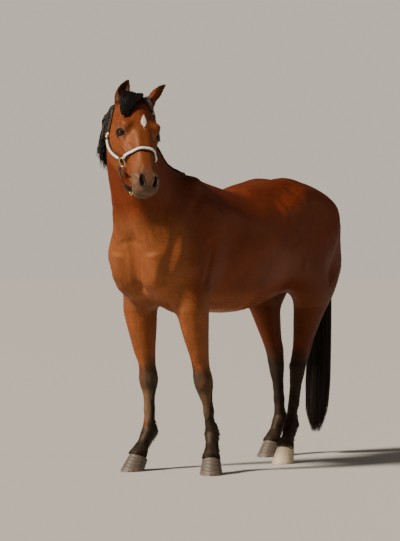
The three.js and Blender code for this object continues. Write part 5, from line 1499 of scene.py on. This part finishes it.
def swept(name, line, outs, section, material, closed=False, scale=None):
    """A closed section, in millimetres to the side and out, carried along a line."""
    n, k = len(line), len(section)
    if closed:
        along = unit(np.roll(line, -1, 0) - np.roll(line, 1, 0))
    else:
        along = unit(np.gradient(line, axis=0))
    outs = unit(outs - along * np.sum(outs * along, axis=1, keepdims=True))
    side = np.cross(along, outs)
    size = np.ones((n, 2)) if scale is None else scale
    s = section[None] * size[:, None] / 1000
    p = line[:, None] + side[:, None] * s[..., :1] + outs[:, None] * s[..., 1:]
    rows = n if closed else n - 1
    bm = bmesh.new()
    bmesh.ops.create_grid(bm, x_segments=k, y_segments=rows, size=1)
    for v in bm.verts:
        i, j = round((v.co.x + 1) / 2 * k) % k, round((v.co.y + 1) / 2 * rows) % n
        v.co = p[j, i]
    bmesh.ops.remove_doubles(bm, verts=bm.verts, dist=1e-7)
    if not closed:
        bmesh.ops.holes_fill(bm, edges=[e for e in bm.edges if e.is_boundary], sides=0)
    bmesh.ops.recalc_face_normals(bm, faces=bm.faces)
    mesh = bpy.data.meshes.new(name)
    bm.to_mesh(mesh)
    bm.free()
    mesh.polygons.foreach_set("use_smooth", [len(f.vertices) < 5 for f in mesh.polygons])
    mesh.materials.append(material)
    piece = bpy.data.objects.new(name, mesh)
    bpy.context.collection.objects.link(piece)
    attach(piece, "root")
    return piece


def stitches(name, line, outs, offsets, height, material, spacing=0.0052):
    """Rows of thread along a strap, each stitch a small pointed bead sunk in the leather."""
    along = unit(np.gradient(line, axis=0))
    outs = unit(outs - along * np.sum(outs * along, axis=1, keepdims=True))
    side = np.cross(along, outs)
    far = np.concatenate([[0], np.cumsum(np.linalg.norm(np.diff(line, axis=0), axis=1))])
    s = np.arange(0.006, far[-1] - 0.006, spacing)

    def there(rows):
        return np.stack([np.interp(s, far, rows[:, k]) for k in range(3)], 1)

    bead = np.array([[-1.9, 0, 0], [1.9, 0, 0], [0, -0.45, 0.1], [0, 0.45, 0.1], [0, 0, 0.55], [0, 0, -0.5]]) / 1000
    shape = np.array([[0, 2, 4], [0, 4, 3], [0, 3, 5], [0, 5, 2], [1, 4, 2], [1, 3, 4], [1, 5, 3], [1, 2, 5]])
    points, faces = [], []
    for offset in offsets:
        base = there(line) + there(side) * offset / 1000 + there(outs) * height / 1000
        p = base[:, None] + sum(there(d)[:, None] * bead[None, :, k:k + 1] for k, d in enumerate((along, side, outs)))
        faces.append(shape[None] + 6 * np.arange(len(s))[:, None, None] + 6 * len(s) * len(points))
        points.append(p)
    piece = piece_from(name, np.concatenate(points).reshape(-1, 3), np.concatenate(faces).reshape(-1, 3), 3, material)
    return piece


def loop_of(centre, across, along, half_across, half_along, power, steps=40):
    """A closed rounded-square line of points in the plane of two directions."""
    a = np.linspace(0, 2 * math.pi, steps, endpoint=False)
    c, s = np.cos(a), np.sin(a)
    r = (abs(c) ** power + abs(s) ** power) ** (-1 / power)
    return centre + (across * (c * r * half_across)[:, None] + along * (s * r * half_along)[:, None]) / 1000


def middle_of(name):
    low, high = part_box(name)
    return (np.array(low) + np.array(high)) / 2


CHEEK = [(88, 314, -160), (94, 262, -182), (106, 200, -192), (108, 140, -182)]
NOSEBAND = [(-86, 326, -130), (-82, 330, -84), (-56, 344, -8), (0, 340, 12), (56, 344, -8), (82, 330, -84),
            (86, 326, -130)]
CHIN = [(-84, 344, -164), (-72, 362, -196), (-44, 392, -228), (-14, 409, -244), (14, 409, -244),
        (44, 392, -228), (72, 362, -196), (84, 344, -164)]
CROWN = [(-108, 124, -174), (-106, 74, -142), (-92, 26, -118), (-52, -14, -112), (0, -26, -110),
         (52, -14, -112), (92, 26, -118), (106, 74, -142), (108, 124, -174)]


def headcollar():
    leather = worn_material("dark_leather", (0.0065, 0.0042, 0.0034), (0.014, 0.0078, 0.0052), (0.050, 0.028, 0.017),
                            (0.38, 0.56), bump=0.35, Specular_IOR_Level=0.32)
    brass = worn_material("brass", (0.42, 0.27, 0.10), (0.66, 0.47, 0.22), (0.80, 0.64, 0.36), (0.20, 0.38),
                          grain=700.0, stain=60.0, bump=0.08, Metallic=1.0)
    thread = worn_material("thread", (0.34, 0.27, 0.18), (0.50, 0.42, 0.31), (0.56, 0.50, 0.40), (0.7, 0.9))
    padding = padding_material()
    rng = np.random.default_rng(41)

    def roll(name, line, outs, width, height, shift, node=None):
        """A stuffed white sleeve over a strap, a little puckered, with drawn-in ends."""
        n = len(line)
        t = np.linspace(0, 1, n)
        drawn = smooth(0, 0.035, t) * smooth(1, 0.965, t)
        pucker = 1 + 0.020 * np.sin(t * 61 + 1.0) + 0.018 * np.sin(t * 97)
        size = np.stack([pucker * (0.72 + 0.28 * drawn), pucker * (0.60 + 0.40 * drawn)], 1)
        section = rounded(width, height, min(width, height) * 0.47, 4, shift)
        section[:, 1] += 3.0
        return swept(name, line, outs, section, padding, scale=size)

    def buckle(name, centre, along, out, half_across=17, half_along=13):
        """A brass frame with its tongue, and the strap's leather keeper below it."""
        across = unit(np.cross(along, out))
        frame_line = loop_of(centre + out * 0.005, across, along, half_across, half_along, 5)
        swept(name, frame_line, np.tile(out, (40, 1)), disc(2.1), brass, closed=True)
        tongue = np.linspace(-half_along, half_along + 1.5, 8)[:, None] / 1000 * along + centre + out * 0.0085
        swept(name + "_tongue", tongue, np.tile(out, (8, 1)), disc(1.4, 8), brass)
        keep = loop_of(centre - along * 0.028 + out * 0.0025, across, out, 14.5, 5.4, 6)
        swept(name + "_keeper", keep, np.tile(along, (40, 1)), rounded(2.0, 8.0, 0.8), leather, closed=True)

    line, outs = draped(NOSEBAND, 0.0035, 110)
    band = swept("noseband", line, outs, rounded(26, 3.6, 1.4), leather)
    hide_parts("halter_noseband")
    stitches("noseband_thread", line, outs, (-10.8, 10.8), 3.7, thread)
    roll("noseband_roll", line[4:-4], outs[4:-4], 13.8, 8.2, 3.0)
    for side, out_sign in SIDES.items():
        path = [(out_sign * x, y, z) for x, y, z in CHEEK]
        line, outs = draped(path, 0.0035, 70)
        cheek = swept("cheek_strap_" + side, line, outs, rounded(25, 3.6, 1.4), leather)
        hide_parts("halter_cheek_" + side)
        stitches("cheek_thread_" + side, line, outs, (-10.4, 10.4), 3.7, thread)
        roll("cheek_roll_" + side, line[11:-4], outs[11:-4], 13.2, 8.0, 0.0)
        along = unit(line[-1] - line[-6])
        buckle("cheek_buckle_" + side, line[-1] + along * 0.012, along, outs[-1])
        keep = loop_of(line[4] + outs[4] * 0.0025, unit(np.cross(unit(line[5] - line[3]), outs[4])), outs[4],
                       14.5, 5.0, 6)
        swept("cheek_keeper_" + side, keep, np.tile(unit(line[5] - line[3]), (40, 1)), rounded(2.2, 8.0, 0.8),
              leather, closed=True)
        # the square ring that joins noseband, cheek and chin straps
        centre = middle_of("ring_" + side)
        out = on_surface([centre])[1][0]
        down = unit(HEAD_DOWN - out * np.dot(HEAD_DOWN, out))
        tilt = turned(down, out, 12 * out_sign)
        ring_line = loop_of(centre, np.cross(out, tilt), tilt, 18, 23, 3.2, 56)
        ring = swept("side_ring_" + side, ring_line, np.tile(out, (56, 1)), disc(3.9, 12), brass, closed=True)
        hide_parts("ring_" + side)
    line, outs = draped(CROWN, 0.004, 110)
    crown = swept("crown_strap", line, outs, rounded(24, 3.6, 1.4), leather)
    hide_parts("halter_crown")
    stitches("crown_thread", line, outs, (-9.8, 9.8), 3.7, thread)
    line, outs = draped(CHIN, 0.005, 80, hanging=True)
    chin = swept("chin_strap", line, outs, rounded(24, 4.6, 1.6), leather)
    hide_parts("halter_chin")
    stitches("chin_thread", line, outs, (-9.6, 9.6), 4.7, thread)
    ring_line = loop_of(middle_of("ring_chin"), unit(HEAD_FACE), unit(HEAD_DOWN), 18, 18, 2.0, 48)
    ring = swept("chin_ring", ring_line, np.tile(HEAD_LEFT, (48, 1)), disc(3.4, 12), brass, closed=True)
    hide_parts("ring_chin")


headcollar()

# ------------------------------------------------------------------ hooves

HORN = {
    "grey": ((0.115, 0.090, 0.070), (0.045, 0.034, 0.028), (0.19, 0.155, 0.120)),
    "cream": ((0.60, 0.50, 0.36), (0.42, 0.31, 0.20), (0.72, 0.62, 0.48)),
}


def hooves():
    finish = {tone: horn_material("horn_" + tone, *HORN[tone]) for tone in HORN}
    for leg in LEG_LINES:
        name = "hoof_" + leg
        piece = grown_copy(name, 0.0)
        remesh = piece.modifiers.new("remesh", "REMESH")
        remesh.mode, remesh.voxel_size = "VOXEL", 0.003
        applied(piece)
        mesh = piece.data
        p, edges = points_of(mesh), edges_of(mesh)
        middle = p.mean(0)
        p = softened(p, edges, np.full(len(p), 0.0055), 50)
        low, high = p[:, 2].min(), p[:, 2].max()
        p[:, 2] = np.where(p[:, 2] < 0.0030, 0.0002, p[:, 2])
        turn = np.arctan2(p[:, 1] - middle[1], p[:, 0] - middle[0])
        down = 1 - (p[:, 2] - low) / (high - low)
        # the wall is gently ringed where it grew
        ripple = np.sin(down * 34 + 0.8 * np.sin(3 * turn)) * 0.00045 * smooth(0.004, 0.016, p[:, 2])
        move_to(mesh, p)
        move_to(mesh, p + normals_of(mesh) * ripple[:, None])
        mesh.attributes.new("grown", "FLOAT_VECTOR", "POINT").data.foreach_set(
            "vector", np.stack([down, turn, 0 * turn], 1).astype(np.float32).ravel())
        mesh.materials.clear()
        mesh.materials.append(finish["cream" if leg == "hind_left" else "grey"])
        mesh.polygons.foreach_set("use_smooth", [True] * len(mesh.polygons))
        piece.name = mesh.name = "horn_" + leg
        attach(piece, "root")
        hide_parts(name)


hooves()

# ------------------------------------------------------------------ floor, lights, camera

def plain_material(name, colour, rough):
    material = bpy.data.materials.new(name)
    material.use_nodes = True
    shader = material.node_tree.nodes["Principled BSDF"]
    shader.inputs["Base Color"].default_value = (*colour, 1)
    shader.inputs["Roughness"].default_value = rough
    return material


def make_floor():
    bm = bmesh.new()
    bmesh.ops.create_circle(bm, cap_ends=True, segments=96, radius=60)
    mesh = bpy.data.meshes.new("floor")
    bm.to_mesh(mesh)
    bm.free()
    floor = bpy.data.objects.new("floor", mesh)
    bpy.context.collection.objects.link(floor)
    mesh.materials.append(plain_material("pale_floor", (0.52, 0.507, 0.490), 0.85))


def area_light(name, place, target, size, power, tint=(1, 1, 1)):
    data = bpy.data.lights.new(name, "AREA")
    data.shape, data.size, data.energy, data.color = "DISK", size, power, tint
    light = bpy.data.objects.new(name, data)
    bpy.context.collection.objects.link(light)
    light.location = place
    light.rotation_euler = (Vector(target) - Vector(place)).to_track_quat("-Z", "Y").to_euler()


def make_stage():
    make_floor()
    world = bpy.data.worlds.new("studio")
    bpy.context.scene.world = world
    world.use_nodes = True
    sky = Nodes(world.node_tree)
    soft = world.node_tree.nodes["Background"]
    soft.inputs["Color"].default_value = (0.88, 0.86, 0.84, 1)
    soft.inputs["Strength"].default_value = 0.11
    # the backdrop is seen as pale as the floor, and lights softly
    backdrop = sky.add("ShaderNodeBackground", {"Color": (0.650, 0.587, 0.488, 1), "Strength": 1.0})
    seen = sky.add("ShaderNodeLightPath").outputs["Is Camera Ray"]
    both_lights = sky.add("ShaderNodeMixShader", {0: seen, 1: soft.outputs[0], 2: backdrop.outputs[0]})
    world.node_tree.links.new(both_lights.outputs[0], world.node_tree.nodes["World Output"].inputs["Surface"])
    sun = bpy.data.lights.new("key", "SUN")
    sun.energy, sun.angle, sun.color = 6.2, math.radians(9), (1.0, 0.89, 0.74)
    lamp = bpy.data.objects.new("key", sun)
    bpy.context.collection.objects.link(lamp)
    turn, height = math.radians(-21), math.radians(39)
    toward = Vector((math.sin(turn) * math.cos(height), -math.cos(turn) * math.cos(height), math.sin(height)))
    lamp.rotation_euler = toward.to_track_quat("Z", "Y").to_euler()
    area_light("rim", (5.5, 5.0, 4.6), (0, 0.4, 1.3), 2.5, 55, (1.0, 0.80, 0.58))


def make_camera():
    data = bpy.data.cameras.new("camera")
    data.sensor_fit, data.sensor_height, data.lens = "VERTICAL", 36.0, 36.0 * 2431 / 541
    camera = bpy.data.objects.new("camera", data)
    bpy.context.collection.objects.link(camera)
    side = math.radians(37)
    away = Vector((math.sin(side), -math.cos(side), 0))
    camera.location = away * 13 + Vector((*FOOTPRINT[:2], 1.2))
    look = -away
    look.rotate(Matrix.Rotation(math.atan(24 / 2431), 3, "Z"))
    look.z = -math.tan(math.atan(29.5 / 2431))
    camera.rotation_euler = look.to_track_quat("-Z", "Y").to_euler()
    bpy.context.scene.camera = camera


make_stage()
make_camera()
eyeball("left")
eyeball("right")
